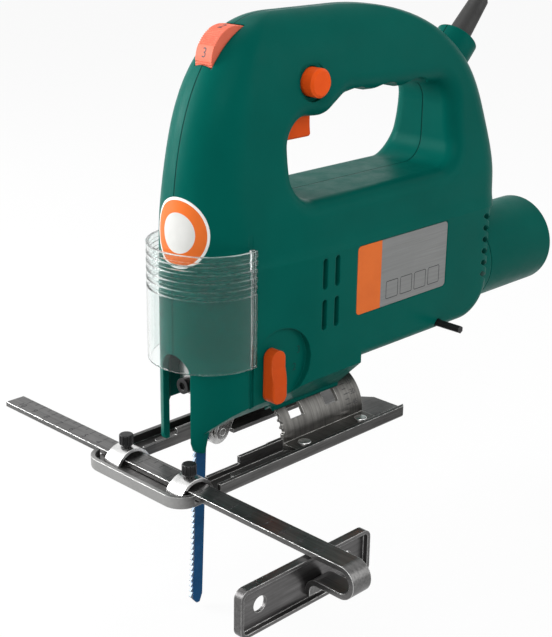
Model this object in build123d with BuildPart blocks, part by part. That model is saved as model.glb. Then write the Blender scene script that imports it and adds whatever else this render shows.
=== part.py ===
from build123d import *
from math import cos, pi, radians, sin, sqrt
import os

os.makedirs("parts", exist_ok=True)

# Corded jigsaw, in millimetres. The origin lies on the sole's underside, on the median plane,
# below the centre line of the guide bar. +X runs to the rear, +Z up, and the orbit lever, the
# lock button and the fence are on the -Y side.

# Fits
gap = 0.35  # between pieces that move past each other
seat = 0.05  # between a seated piece and its seat
run = 0.05  # radial, round a shaft that turns or slides
lap = 1.0  # how far a cut runs past a face

# Sole, a stamped sheet with turned-up rims
sole_length = 154.2
sole_width = 67.0
sole_front = -16.4
sole_sheet = 2.0
rim_height = 6.0
sole_corner = 10.0
rear_bevel = 5.5  # slanted rear corners
sight_half = 11.0  # notch in the rear edge
sight_floor = 4.0
sight_depth = 5.0
mouth_front = 10.0  # sole opening, from behind the cross-bar
mouth_half = 20.5
mouth_rear = 58.0
throat_half = 11.0  # narrower opening below the saddle
throat_rear = 108.0
lip_height = 8.0  # inner lips beside the head
low_lip = 4.6  # inner lips beside the prongs
lip_front = 30.0
lip_sheet = 1.6
bead_width = 3.0
bead_height = 1.0
bead_shift = 4.0
bead_extra = 10.0
rim_gap = 15.0  # break in the side rims for the guide bar

# Saddle that the tool body tilts on
tilt_z = 5.0
saddle_front = 60.6
saddle_length = 55.9
saddle_radius = 20.0
saddle_sheet = 2.0
saddle_foot = 30.0  # half width over the feet
slot_width = 9.0
slot_span = 64.0  # degrees to each side of the top
bolt_x = (72.0, 96.0)
bolt_radius = 2.5
bolt_head_radius = 4.5
bolt_head_height = 4.0
bolt_reach = 12.0  # thread inside the housing
bolt_room = 0.5
shoe_sheet = 3.0
shoe_half_angle = 24.0
shoe_inset = 4.0
rivet_radius = 2.0
rivet_head_radius = 3.2
rivet_head_height = 1.0
rivet_inset = 8.0
rivet_recess = 0.4
rivet_y = 26.0
notch_radius = 1.2
notch_count = 5
notch_first = 32.0  # degrees from the top
notch_step = 11.0

# Guide bar, fence and their clips
bar_width = 10.5
bar_sheet = 2.4
bar_far_end = 109.0
bend_y = -122.0
bend_radius = 6.0
fence_y = -95.0
fence_length = 75.0
fence_height = 21.0
fence_sheet = 1.6
fence_rim = 4.0
fence_top = 1.5
fence_x = -6.0
fence_hole_radius = 3.5
fence_hole_spacing = 50.0
clip_y = 21.4
clip_length = 10.0
clip_sheet = 1.6
arch_drop = 1.5  # the clips' arch is struck from below the sole
knob_radius = 3.3
knob_height = 4.8
knob_round = 0.7
collar_radius = 2.6
collar_height = 0.8
flute_radius = 0.4
screw_radius = 2.0
knob_flutes = 12

# Housing, two halves joined on the median plane
waist_z = 95.0
crown_z = 201.3
nose_x = 10.4
tail_x = 218.0
crown_front_x = 70.0
crown_rear_x = 100.0
crown_power = 2.5
crown_reach = 87.0  # degrees of the crown that the stations cover
crown_stations = 12
crown_clip = 0.2
side_power = 2.3  # how the sides close in towards the crown
side_root = 2.1
head_half = 25.0
body_half = 28.8
grip_half = 19.8
grip_z = 152.0
body_blend_x = 78.0
tail_corner = 0.72  # rear corner radius, as a share of the half width
foot_z = 37.0  # underside of the motor body
foot_round = 6.0
cradle_front = 58.6
cradle_rear = 104.0
back_step = 12.0  # from the handle's rear forward to the motor body's rear wall
back_top_z = 94.0
back_corner = 22.0
wall = 3.2

# Handle opening
window_front = 64.0
window_post = 40.0  # depth of the handle's rear post
window_floor = 119.0
window_height = 44.0
window_slope = 3.0
hook_x = 88.0
hook_drop = 8.5  # below the top of the opening
hook_run = 14.0
hook_rise = 2.0
window_round = 12.0
window_edge = 8.0
finger_radius = 13.0
finger_depth = 2.2
finger_pitch = 21.0
finger_first = 110.0
finger_count = 3

# Head, with the blade slot between two prongs
slot_half = 9.0
slot_arch_z = 56.5
prong_tip = 12.0
prong_half = 14.4
prong_x = 16.0
prong_tip_width = 2.6
prong_knee = (2.0, 8.0)  # back from the tip, and up
prong_root = (7.0, 18.0)
skirt_half = 19.4  # inside half width of the head's open underside
gear_case_z = 45.0
cavity_half = 20.2
head_cavity_top = 112.0
column_cavity_top = 146.0
column_half = 15.0
column_rear = 52.0
arm_room_top = 120.0
duct_floor = 39.8
duct_roof = 45.4
duct_half = 13.0

# Drive
tooth_module = 0.9
pinion_teeth = 7
gear_teeth = 38
gear_z = 93.0
gear_x = 45.0
gear_width = 8.0
gear_shaft_radius = 3.0
gear_web = 3.0
crank_throw = 9.0
crank_radius = 3.0
motor_shaft_radius = 3.0
plate_x = 55.5
plate_width = 4.0
front_bearing_radius = 9.5
rear_bearing_radius = 8.0
bearing_width = 6.0
stator_radius = 24.6
stator_bore = 15.6
stator_x = 96.0
stator_length = 44.0
rotor_gap = 0.5
fan_x = 67.0
fan_width = 12.0
fan_radius = 21.5
fan_blades = 9
commutator_x = 158.0
commutator_length = 15.0
commutator_radius = 10.0
commutator_bars = 12
rear_bearing_step = 20.0  # forward of the rear wall
rear_boss = 5.0
end_wall = 2.5
brush_size = 6.0
brush_length = 12.0
bearing_groove = 0.5
coil_slot_radius = 20.0
coil_slot_angle = 30.0
coil_end = 6.0
holder_wall = 1.6
holder_inset = 1.0
holder_length = 18.0
winding_radius = 12.5
winding_length = 9.0
fan_hub = 7.0
fan_sheet = 1.6
fan_rake = 12.0
pinion_x = 44.2
tooth_clearance = 0.35
pinion_root_width = 1.3
pinion_tip_width = 0.55
gear_root_width = 1.35
gear_tip_width = 0.6
web_radius = 10.5
web_holes = 5
web_start = -30.0
web_span = 240.0
coil_slack = 2.0
wire_slot_radius = 1.5
wire_slot_inset = 1.2
bar_gap = 0.6
bar_gap_depth = 1.0
fan_tip = 1.0

# Plunger, blade and orbit parts
plunger_x = 23.5
plunger_radius = 4.0
plunger_top = 126.0
stroke = 2 * crank_throw
yoke_half = 15.0
yoke_height = 13.0
yoke_front = 27.6
yoke_rear = 36.9
yoke_round = 2.0
yoke_wall = 3.0
slider_size = 8.0
bushing_radius = 5.5
bushing_height = 7.0
upper_bushing_z = 113.2
carrier_x = 26.0
carrier_sheet = 6.0
carrier_pin_x = 31.0
carrier_pin_z = 124.5
carrier_round = 3.0
carrier_cap = 2.0
carrier_reach = 18.5
rocker_reach = 22.5
pin_wall = 2.0
pin_radius = 2.5
clamp_front = 18.5
clamp_rear = 29.6
clamp_half = 6.5
clamp_bottom = 36.0
clamp_top = 50.0
clamp_screw_radius = 2.5
clamp_head_radius = 3.6
clamp_head_height = 3.2
blade_width = 7.5
blade_sheet = 1.2
blade_back = 30.5
blade_tip_z = -74.0
blade_lean = 2.2  # degrees, tip forward
tooth_pitch = 2.8
tooth_depth = 1.5
roller_radius = 6.5
roller_width = 6.0
roller_z = 13.0
roller_pin_radius = 1.75
rocker_pin_x = 46.0
rocker_pin_z = 33.0
rocker_sheet = 2.0
rocker_tail_z = 46.0
roller_groove = 1.0
rod_bottom = 46.5
tang_x = 25.2
tang_width = 6.0
tang_top = 46.0
clamp_screw_z = 40.0
side_screw_z = 43.0
side_head_height = 2.0
clamp_round = 1.5
tang_step = 1.0
blade_shoulder = 4.0
tip_rise = 4.0
rocker_boss = 2.5
rocker_tail = 3.0
carrier_half = 19.0
carrier_wall = 1.2
arm_half = 9.0
blade_back_z = 40.0
tooth_start = 28.0
tooth_count = 35

# Guard
guard_radius = 27.4
guard_sheet = 1.4
guard_x = 31.4
guard_bottom = 51.5
guard_top = 105.0
guard_rear = 35.4
guard_lip = 2.0
guard_grooves = 5
groove_pitch = 3.8
groove_first = 2.6
lip_lap = 0.4
rail_bottom = 31.0
rail_top = 111.0

# Controls
trigger_front = 69.5
trigger_rear = 88.6
trigger_half = 7.6
trigger_drop = 10.4  # below the hook
trigger_depth = 15.9  # from its lower face up to its shoulder
trigger_lip = 3.0
trigger_dish = 0.8
trigger_round = 1.5
trigger_slot = 12.0
trigger_travel = 5.0
switch_front = 65.5
switch_rear = 99.0
switch_height = 20.3
switch_room = 1.0
switch_round = 1.5
lead_rise = 5.3
terminal_spacing = 6.0
terminal_size = 4.0
terminal_sheet = 1.0
lock_x = 77.0
lock_z = 171.4
lock_radius = 6.5
lock_face = 24.0
lock_travel = 3.5
lock_edge = 1.2
lock_rim_y = 17.2
lock_rim = 2.2
dial_x = 43.5
dial_z = 182.5
dial_radius = 14.6
dial_half = 5.0
dial_panels = 6
dial_ribs = 8  # between one panel and the next
dial_rib_share = 0.55
dial_rib_radius = 0.35
dial_axle = 2.5
axle_reach = 8.5
board_x = 43.0
board_z = 156.0
board_room = 16.0
board_length = 22.0
board_half = 10.0
board_sheet = 1.6
chip_length = 9.0
chip_width = 12.0
chip_height = 6.0
chip_shift = -4.0
cap_radius = 2.6
cap_height = 9.0
cap_shift = 6.0
cap_spacing = 8.0
lever_x = 45.0
lever_z = 53.5
lever_hub = 4.2
lever_foot = 3.9
lever_drop = 17.0
lever_spread = 0.5
lever_inner = 25.8
lever_top_face = 31.2
lever_low_face = 32.6
lever_ease = 0.5
lever_toe = 2.0
lever_round = 0.8
orbit_shaft_radius = 3.5
orbit_shaft_end = 12.0
dish_x = 52.0
dish_z = 48.0
dish_radius = 17.0

# Recess for the rating plate
plate_depth = 0.4
label_x = 133.0
label_z = 77.2
label_length = 68.0
label_height = 34.4
label_corner = 2.5

# Rear end
spout_z = 59.6
spout_radius = 24.0
spout_wall = 2.5
spout_reach = 55.6
spout_round = 0.8
collar_length = 7.0
spigot_radius = 20.0
spigot_length = 12.0
seam = 0.6
key_x = 163.0
key_z = 41.2
key_radius = 2.0
key_tip = -43.0
key_bend = 34.0
key_arm = 18.0
vent_x = (77.1, 85.3)
vent_z = (66.2, 85.8)
vent_length = 14.8
vent_width = 3.2
rear_vents = 6
rear_vent_step = 10.0
rear_vent_z = 88.0
rear_vent_pitch = 6.2
rear_vent_slant = 35.0
rear_vent_length = 11.8
rear_vent_width = 2.7
rear_vent_inset = 8.0
rear_vent_depth = 12.0
post_screw = (21.0, 124.0)  # forward of the handle's rear, and up
case_screw_radius = 2.0
case_head_radius = 3.6
case_head_height = 3.0
case_screw_depth = 10.0  # thread inside the left half
case_seat_y = 11.0
tap_room = 1.0
cross_width = 0.9

# Cord
cord_radius = 3.75
gland_step = 15.0  # forward of the handle's rear
gland_z = 177.0
gland_run = 6.0
lead_bend = 31.0
lead_end = (11.0, 11.5)
lead_room = 1.0
gland_slope = 46.0  # degrees above the horizontal
gland_radius = 11.0
gland_bore = 6.0
gland_depth = 12.0
floor_z = -76.0
coil_turns = 5.25  # half of them in each of two layers
coil_step = 8.2
coil_outer = 52.0  # middle of the outermost turn
coil_reach = 72.0  # behind the gland
coil_y = -113.0
coil_lift = 1.6  # room for the tie below the turns
coil_ease = 0.01
climb_turns = 0.5
cord_rise = ((36, -1, 37), (60, -6, 45), (85, -13, 41), (107, -20, 24), (121, -26, -7))  # from the gland
cord_fall = ((-1, -29, 124), (1, -31, 72), (1, -30, 18), (0, -31, -36))  # beside the coil
cord_floor_y = -64.0
bend_most = 400.0
bend_share = 0.45
tie_slack = 0.4
tie_round = 3.0
tie_sheet = 1.2
tie_width = 12.0
tie_turn = 150.0
sleeve_radius = 5.95
sleeve_end_radius = 4.6
sleeve_length = 26.0
sleeve_round = 1.0
plug_length = 40.0
plug_height = 27.0
plug_width = 37.0
plug_pin_radius = 2.4
plug_pin_length = 19.0
plug_pin_spacing = 19.0
plug_run = 54.0
plug_neck = 1.5
pin_edge = 0.8

# Values that follow from those above
motor_z = gear_z - tooth_module * (gear_teeth + pinion_teeth) / 2
sole_rear = sole_front + sole_length
head_x = nose_x + head_half
cavity_radius = head_half - wall
housing_reach = body_half + 10 * lap
housing_low = prong_tip - 5 * lap
flank_rise = tilt_z + (rim_height - tilt_z + gap) * sqrt(2)  # clear of the tilted sole
back_x = tail_x - back_step
window_rear = tail_x - window_post
window_top = window_floor + window_height
hook_z = window_top - hook_drop
plate_rear = plate_x + plate_width
rear_bearing_x = back_x - rear_bearing_step
lower_bushing_z = clamp_top + stroke + 2 * gap + bushing_height / 2
trigger_bottom = hook_z - trigger_drop
trigger_shoulder = trigger_bottom + trigger_depth
switch_low = trigger_shoulder + gap + trigger_lip + trigger_travel + gap
switch_top = switch_low + switch_height
lead_z = switch_low + lead_rise
collar_end = back_x + collar_length
spout_end = collar_end + spout_reach
rear_vent_x = back_x - rear_vent_step
screw_places = (
    (84.0, 33.2),
    (57.5, 145.0),
    (112.0, 108.5),
    (tail_x - post_screw[0], post_screw[1]),
    (130.0, 184.0),
)
gland_x = tail_x - gland_step
coil_x = gland_x + coil_reach
bar_top = sole_sheet + gap + bar_sheet
clip_inner = sqrt((bar_width / 2) ** 2 + (bar_top + arch_drop) ** 2) + gap
clip_top = clip_inner + clip_sheet - arch_drop
rivet_places = (
    (saddle_front + rivet_inset, rivet_y),
    (saddle_front + rivet_inset, -rivet_y),
    (saddle_front + saddle_length - rivet_inset, rivet_y),
    (saddle_front + saddle_length - rivet_inset, -rivet_y),
)
bolt_top = tilt_z + saddle_radius + gap + bolt_reach
gland_plane = Plane(
    origin=(gland_x, 0, gland_z),
    x_dir=(0, 1, 0),
    z_dir=(cos(radians(gland_slope)), 0, sin(radians(gland_slope))),
)


def station_rows():
    # Height, front, rear, and half widths at the head and at the motor, up the crown
    rows = []
    for k in range(crown_stations + 1):
        turn = radians(crown_reach * k / crown_stations)
        inward = cos(turn) ** (2 / crown_power)
        rise = sin(turn) ** (2 / crown_power)
        z = waist_z + (crown_z - waist_z) * rise
        t = min(1, (z - waist_z) / (grip_z - waist_z))
        ease = t * t * (3 - 2 * t)
        close = max(0, (z - grip_z) / (crown_z + crown_clip - grip_z))
        top_round = (1 - close**side_power) ** (1 / side_root)
        front = crown_front_x - (crown_front_x - nose_x) * inward
        rear = crown_rear_x + (tail_x - crown_rear_x) * inward
        at_head = (head_half + (grip_half - head_half) * ease) * top_round
        at_body = (body_half + (grip_half - body_half) * ease) * top_round
        rows.append((z, front, rear, at_head, at_body))
    return rows


# Right half of the outer shape, lofted up the crown and carried straight down to the prongs
with BuildPart() as shell_half:
    for z, front, rear, at_head, at_body in station_rows():
        with BuildSketch(Plane.XY.offset(z)):
            with BuildLine():
                corner = tail_corner * at_body
                RadiusArc((front, 0), (front + at_head, at_head), at_head)
                Spline(
                    (front + at_head, at_head),
                    (body_blend_x, at_body),
                    tangents=((1, 0), (1, 0)),
                )
                Line((body_blend_x, at_body), (rear - corner, at_body))
                RadiusArc((rear - corner, at_body), (rear, at_body - corner), corner)
                Line((rear, at_body - corner), (rear, 0))
                Line((rear, 0), (front, 0))
            make_face()
    loft()
    extrude(shell_half.faces().sort_by(Axis.Z)[0], amount=waist_z - housing_low)
    # Motor body's underside, rear wall and the step above the spout
    with BuildSketch(Plane.XZ):
        with BuildLine():
            Polyline(
                (back_x - back_corner, foot_z),
                (cradle_rear, foot_z),
                (cradle_rear, housing_low - lap),
                (tail_x + lap, housing_low - lap),
                (tail_x + lap, back_top_z),
                (back_x, back_top_z),
                (back_x, foot_z + back_corner),
            )
            RadiusArc((back_x, foot_z + back_corner), (back_x - back_corner, foot_z), back_corner)
        make_face()
    extrude(amount=housing_reach, both=True, mode=Mode.SUBTRACT)
    # Flanks that clear the sole when it tilts, and the cradle over the saddle
    flank_start = (saddle_radius + gap) * cos(radians(45))
    with BuildSketch(Plane.YZ.offset(nose_x - lap)):
        with BuildLine():
            Polyline(
                (flank_start, housing_low - lap),
                (flank_start, flank_start + flank_rise),
                (housing_reach, housing_reach + flank_rise),
                (housing_reach, housing_low - lap),
                close=True,
            )
        make_face()
    extrude(amount=cradle_rear - nose_x + lap, mode=Mode.SUBTRACT)
    with BuildSketch(Plane.YZ.offset(cradle_front)):
        with Locations((0, tilt_z)):
            Circle(saddle_radius + gap)
        with Locations((0, housing_low - lap)):
            Rectangle(2 * flank_start, 2 * (tilt_z + flank_start - housing_low + lap))
    extrude(amount=cradle_rear - cradle_front, mode=Mode.SUBTRACT)
    # Handle opening with its hook in front of the trigger finger
    with BuildSketch(Plane.XZ):
        with BuildLine():
            FilletPolyline(
                (window_front, window_floor),
                (window_rear, window_floor),
                (window_rear, window_top - window_slope),
                (hook_x + hook_run, window_top),
                (hook_x, hook_z),
                (window_front, hook_z + hook_rise),
                radius=window_round,
                close=True,
            )
        make_face()
    extrude(amount=housing_reach, both=True, mode=Mode.SUBTRACT)
    window_edges = (
        shell_half.edges()
        .filter_by(lambda e: window_front - lap < e.center().X < window_rear + lap)
        .filter_by(lambda e: window_floor - lap < e.center().Z < window_top + lap)
        .filter_by(lambda e: e.center().Y > 0.5 * grip_half)
    )
    fillet(window_edges, window_edge)
    # Lower edges of the motor body
    foot_edges = (
        shell_half.edges()
        .filter_by(lambda e: e.center().X > cradle_rear + 2 * lap)
        .filter_by(lambda e: e.center().Z < back_top_z - lap)
        .filter_by(lambda e: e.center().Y > 0.8 * body_half)
    )
    fillet(foot_edges, foot_round)
    # Collar for the dust spout and collar for the cord, both split on the median plane
    with BuildSketch(Plane.YZ.offset(back_x - wall)):
        with Locations((0, spout_z)):
            Circle(spout_radius)
    extrude(amount=collar_end - back_x + wall)
    with BuildSketch(gland_plane):
        Circle(gland_radius)
    extrude(amount=-gland_depth - wall)
    # Blade slot with its arched top, and the open underside of the head
    with BuildSketch(Plane.YZ.offset(nose_x - lap)):
        with Locations((0, slot_arch_z - slot_half)):
            Circle(slot_half)
        with Locations((0, (housing_low - lap + slot_arch_z - slot_half) / 2)):
            Rectangle(2 * slot_half, slot_arch_z - slot_half - housing_low + lap)
    extrude(amount=head_half - 2 * wall, mode=Mode.SUBTRACT)
    with BuildSketch(Plane.XY.offset(housing_low - lap)):
        with BuildLine():
            skirt_x = head_x - sqrt(cavity_radius**2 - skirt_half**2)
            Line((skirt_x, -skirt_half), (cradle_front - 2 * wall, -skirt_half))
            Line((cradle_front - 2 * wall, -skirt_half), (cradle_front - 2 * wall, skirt_half))
            Line((cradle_front - 2 * wall, skirt_half), (skirt_x, skirt_half))
            ThreePointArc((skirt_x, skirt_half), (head_x - cavity_radius, 0), (skirt_x, -skirt_half))
        make_face()
    extrude(amount=gear_case_z - housing_low + lap, mode=Mode.SUBTRACT)
    # Prongs taper to their tips, and the underside behind them is open as far as the cradle
    with BuildSketch(Plane.XZ):
        with BuildLine():
            Polyline(
                (nose_x - lap, housing_low - lap),
                (nose_x - lap, 2 * prong_tip),
                (prong_x - prong_tip_width, prong_tip),
                (prong_x, prong_tip),
                (prong_x + prong_knee[0], prong_tip + prong_knee[1]),
                (prong_x + prong_root[0], prong_tip + prong_root[1]),
                (cradle_front, prong_tip + prong_root[1]),
                (cradle_front, housing_low - lap),
                close=True,
            )
        make_face()
    extrude(amount=prong_half + lap, both=True, mode=Mode.SUBTRACT)
    # Gear case and the space above it for the plunger
    with BuildSketch(Plane.XY.offset(gear_case_z)):
        with Locations((head_x, 0)):
            Circle(cavity_radius)
        with Locations(((head_x + plate_rear) / 2, 0)):
            Rectangle(plate_rear - head_x, 2 * cavity_half)
    extrude(amount=head_cavity_top - gear_case_z, mode=Mode.SUBTRACT)
    for low, high, front in (
        (head_cavity_top, arm_room_top, plunger_x - bushing_radius - carrier_wall - 2 * wall / 3),
        (arm_room_top, column_cavity_top, plunger_x - plunger_radius - 2 * gap),
    ):
        with BuildSketch(Plane.XY.offset(low)):
            with Locations((front + column_half, 0)):
                Circle(column_half)
            with Locations(((front + column_half + column_rear) / 2, 0)):
                Rectangle(column_rear - front - column_half, 2 * column_half)
        extrude(amount=high - low, mode=Mode.SUBTRACT)
    # Motor chamber, rear bearing seat, spout bore and dust channel
    with BuildSketch(Plane.YZ.offset(plate_rear)):
        with Locations((0, motor_z)):
            Circle(stator_radius + seat)
    extrude(amount=rear_bearing_x - rear_boss - plate_rear, mode=Mode.SUBTRACT)
    with BuildSketch(Plane.YZ.offset(rear_bearing_x - rear_boss - lap)):
        with Locations((0, motor_z)):
            Circle(rear_bearing_radius + seat)
    extrude(amount=rear_boss + lap + bearing_width + seat, mode=Mode.SUBTRACT)
    with BuildSketch(Plane.YZ.offset(collar_end)):
        with Locations((0, spout_z)):
            Circle(spigot_radius + gap)
    extrude(amount=-(collar_end - rear_bearing_x - bearing_width - end_wall), mode=Mode.SUBTRACT)
    with BuildSketch(Plane.YZ.offset(cradle_front - 3 * wall)):
        with Locations((0, (duct_floor + duct_roof) / 2)):
            Rectangle(2 * duct_half, duct_roof - duct_floor)
    extrude(amount=back_x - cradle_front, mode=Mode.SUBTRACT)
    # Pockets for the speed board, the switch and the lead inside the handle
    with BuildSketch(Plane.XZ):
        with Locations((board_x, board_z)):
            Rectangle(board_length + 2 * gap, board_room)
    extrude(amount=board_half + gap, both=True, mode=Mode.SUBTRACT)
    with BuildSketch(Plane.XZ):
        with Locations(((switch_front + switch_rear) / 2, (trigger_shoulder + switch_top) / 2)):
            Rectangle(switch_rear - switch_front + 2 * switch_room, switch_top - trigger_shoulder + 2 * seat)
        with Locations(((trigger_front + trigger_rear) / 2, trigger_shoulder + lap - trigger_slot / 2)):
            Rectangle(trigger_rear - trigger_front + 2 * gap, trigger_slot)
    extrude(amount=trigger_half + gap, both=True, mode=Mode.SUBTRACT)
    with BuildSketch(Plane.XZ):
        with BuildLine():
            Polyline(
                (switch_rear, lead_z),
                (gland_x - lead_bend, lead_z),
                (gland_x - lead_end[0], gland_z - lead_end[1]),
            )
        trace(line_width=2 * (cord_radius + lead_room))
    extrude(amount=cord_radius + lead_room, both=True, mode=Mode.SUBTRACT)
    with BuildSketch(gland_plane):
        Circle(gland_bore)
    extrude(amount=-gland_depth - gland_run, mode=Mode.SUBTRACT)
    # Finger grooves under the handle
    with BuildSketch(Plane.XZ):
        for k in range(finger_count):
            with Locations((finger_first + k * finger_pitch, window_top + finger_depth - finger_radius)):
                Circle(finger_radius)
    extrude(amount=housing_reach, both=True, mode=Mode.SUBTRACT)
    # Dial slot with its axle seats
    with BuildSketch(Plane.XZ):
        with Locations((dial_x, dial_z)):
            Circle(dial_radius + gap)
    extrude(amount=dial_half + gap, both=True, mode=Mode.SUBTRACT)
    with BuildSketch(Plane.XZ):
        with Locations((dial_x, dial_z)):
            Circle(dial_axle + run)
    extrude(amount=axle_reach, both=True, mode=Mode.SUBTRACT)
    with BuildSketch(Plane.XZ):
        with Locations((carrier_pin_x, carrier_pin_z)):
            Circle(pin_radius + seat)
    extrude(amount=carrier_reach, both=True, mode=Mode.SUBTRACT)
    with BuildSketch(Plane.XZ):
        with Locations((rocker_pin_x, rocker_pin_z)):
            Circle(pin_radius + seat)
    extrude(amount=rocker_reach, both=True, mode=Mode.SUBTRACT)
    # Rails for the guard
    rail_y = guard_radius - guard_sheet - guard_lip - gap
    with BuildSketch(Plane.XY.offset(rail_bottom)):
        with Locations(((guard_rear - guard_lip / 2), (rail_y + housing_reach) / 2)):
            Rectangle(guard_lip + 2 * gap, housing_reach - rail_y)
    extrude(amount=rail_top - rail_bottom, mode=Mode.SUBTRACT)
    # Vents beside the fan and on the rear corner
    with BuildSketch(Plane.XZ):
        for x in vent_x:
            for z in vent_z:
                with Locations((x, z)):
                    SlotOverall(vent_length, vent_width, rotation=90)
    extrude(amount=-housing_reach, mode=Mode.SUBTRACT)
    for k in range(rear_vents):
        vent_plane = Plane(
            origin=(rear_vent_x, body_half - rear_vent_inset, rear_vent_z - k * rear_vent_pitch),
            x_dir=(1, -1, 0),
            z_dir=(1, 1, 0),
        )
        with BuildSketch(vent_plane):
            SlotOverall(rear_vent_length, rear_vent_width, rotation=rear_vent_slant)
        extrude(amount=rear_vent_depth, mode=Mode.SUBTRACT)
    # Passage for the hex key, and holes for the tilt bolts
    with BuildSketch(Plane.XZ):
        with Locations((key_x, key_z)):
            Circle(key_radius + gap)
    extrude(amount=housing_reach, both=True, mode=Mode.SUBTRACT)
    with BuildSketch(Plane.XY.offset(tilt_z)):
        with Locations(*[(x, 0) for x in bolt_x]):
            Circle(bolt_radius + seat)
    extrude(amount=bolt_top - tilt_z + bolt_room, mode=Mode.SUBTRACT)
    split(bisect_by=Plane.XZ, keep=Keep.BOTTOM)
print("shell half", shell_half.part.is_valid, len(shell_half.solids()), round(shell_half.part.volume))

# Left half, with the lever dish, the lock button's hole and the plate's recess
with BuildPart() as housing_left:
    mirror(shell_half.part, about=Plane.XZ)
    with BuildSketch(Plane.XZ.offset(lever_inner - 2 * gap)):
        with Locations((dish_x, dish_z)):
            Circle(dish_radius)
    extrude(amount=housing_reach, mode=Mode.SUBTRACT)
    with BuildSketch(Plane.XZ.offset(orbit_shaft_end)):
        with Locations((lever_x, lever_z)):
            Circle(orbit_shaft_radius + run)
    extrude(amount=housing_reach, mode=Mode.SUBTRACT)
    with BuildSketch(Plane.XZ):
        with Locations((lock_x, lock_z)):
            Circle(lock_radius + gap)
    extrude(amount=housing_reach, mode=Mode.SUBTRACT)
    with BuildSketch(Plane.XZ.offset(lock_rim_y)):
        with Locations((lock_x, lock_z)):
            Circle(lock_radius + lock_rim)
    extrude(amount=housing_reach, mode=Mode.SUBTRACT)
    with BuildSketch(Plane.XZ.offset(body_half - plate_depth)):
        with Locations((label_x, label_z)):
            RectangleRounded(label_length, label_height, label_corner)
    extrude(amount=housing_reach, mode=Mode.SUBTRACT)
    with BuildSketch(Plane.XZ):
        with Locations(*screw_places):
            Circle(case_screw_radius + seat)
    extrude(amount=case_screw_depth + tap_room, mode=Mode.SUBTRACT)
housing_left.part.label = "housing_left"
export_step(housing_left.part, "parts/housing_left.step")

# Right half, with the screws' counterbores
with BuildPart() as housing_right:
    add(shell_half.part)
    with BuildSketch(Plane.XZ):
        with Locations(*screw_places):
            Circle(case_screw_radius + seat)
    extrude(amount=-case_seat_y, mode=Mode.SUBTRACT)
    with BuildSketch(Plane.XZ.offset(-case_seat_y)):
        with Locations(*screw_places):
            Circle(case_head_radius + gap)
    extrude(amount=-housing_reach, mode=Mode.SUBTRACT)
housing_right.part.label = "housing_right"
export_step(housing_right.part, "parts/housing_right.step")

with BuildPart() as housing_screws:
    with BuildSketch(Plane.XZ.offset(case_screw_depth)):
        with Locations(*screw_places):
            Circle(case_screw_radius)
    extrude(amount=-case_screw_depth - case_seat_y)
    with BuildSketch(Plane.XZ.offset(-case_seat_y)):
        with Locations(*screw_places):
            Circle(case_head_radius)
    extrude(amount=-case_head_height)
    with BuildSketch(Plane.XZ.offset(-case_seat_y - case_head_height)):
        with Locations(*screw_places):
            Rectangle(1.6 * case_head_radius, cross_width)
            Rectangle(cross_width, 1.6 * case_head_radius)
    extrude(amount=0.5 * case_head_height, mode=Mode.SUBTRACT)
housing_screws.part.label = "housing_screws"
export_step(housing_screws.part, "parts/housing_screws.step")

# Sole
with BuildPart() as sole_plate:
    with BuildSketch() as sole_outline:
        with Locations(((sole_front + sole_rear) / 2, 0)):
            Rectangle(sole_length, sole_width)
        fillet(sole_outline.vertices().group_by(Axis.X)[0], sole_corner)
        chamfer(sole_outline.vertices().group_by(Axis.X)[-1], rear_bevel)
    extrude(amount=rim_height)
    with BuildSketch(Plane.XY.offset(sole_sheet)) as tray:
        with Locations(((sole_front + sole_sheet + sole_rear + sole_corner) / 2, 0)):
            Rectangle(sole_length + sole_corner - sole_sheet, sole_width - 2 * sole_sheet)
        fillet(tray.vertices().group_by(Axis.X)[0], sole_corner - sole_sheet)
    extrude(amount=rim_height, mode=Mode.SUBTRACT)
    with BuildSketch(Plane.XY.offset(sole_sheet)):
        Rectangle(rim_gap, sole_width + lap)
    extrude(amount=rim_height, mode=Mode.SUBTRACT)
    # Inner lips, lower beside the clips and higher beside the head
    with BuildSketch(Plane.XY):
        with GridLocations(0, 2 * mouth_half + lip_sheet, 1, 2):
            with Locations(((mouth_front + mouth_rear) / 2, 0)):
                Rectangle(mouth_rear - mouth_front, lip_sheet)
    extrude(amount=low_lip)
    with BuildSketch(Plane.XY):
        with GridLocations(0, 2 * mouth_half + lip_sheet, 1, 2):
            with Locations(((lip_front + mouth_rear) / 2, 0)):
                Rectangle(mouth_rear - lip_front, lip_sheet)
    extrude(amount=lip_height)
    # Pressed beads along the rails
    with BuildSketch(Plane.XY.offset(sole_sheet)):
        with GridLocations(0, 2 * rivet_y, 1, 2):
            with Locations(((lip_front + mouth_rear) / 2 - bead_shift, 0)):
                SlotOverall(mouth_rear - lip_front + bead_extra, bead_width)
    extrude(amount=bead_height)
    # Opening for the blade, narrower below the saddle
    with BuildSketch(Plane.XY):
        with Locations(((mouth_front + mouth_rear) / 2, 0)):
            Rectangle(mouth_rear - mouth_front, 2 * mouth_half)
        with Locations(((mouth_rear - lap + throat_rear) / 2, 0)):
            Rectangle(throat_rear - mouth_rear + lap, 2 * throat_half)
    extrude(amount=lip_height, mode=Mode.SUBTRACT)
    with BuildSketch(Plane.XY):
        with Locations(*rivet_places):
            Circle(rivet_radius + seat)
    extrude(amount=sole_sheet, mode=Mode.SUBTRACT)
    fillet(sole_plate.faces().sort_by(Axis.Z)[0].outer_wire().edges(), 0.75 * sole_sheet)
    # Sight notch in the rear edge
    with BuildSketch(Plane.XY):
        with BuildLine():
            Polyline(
                (sole_rear + lap, sight_half),
                (sole_rear - sight_depth, sight_floor),
                (sole_rear - sight_depth, -sight_floor),
                (sole_rear + lap, -sight_half),
                close=True,
            )
        make_face()
    extrude(amount=rim_height, mode=Mode.SUBTRACT)
sole_plate.part.label = "sole_plate"
export_step(sole_plate.part, "parts/sole_plate.step")

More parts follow.
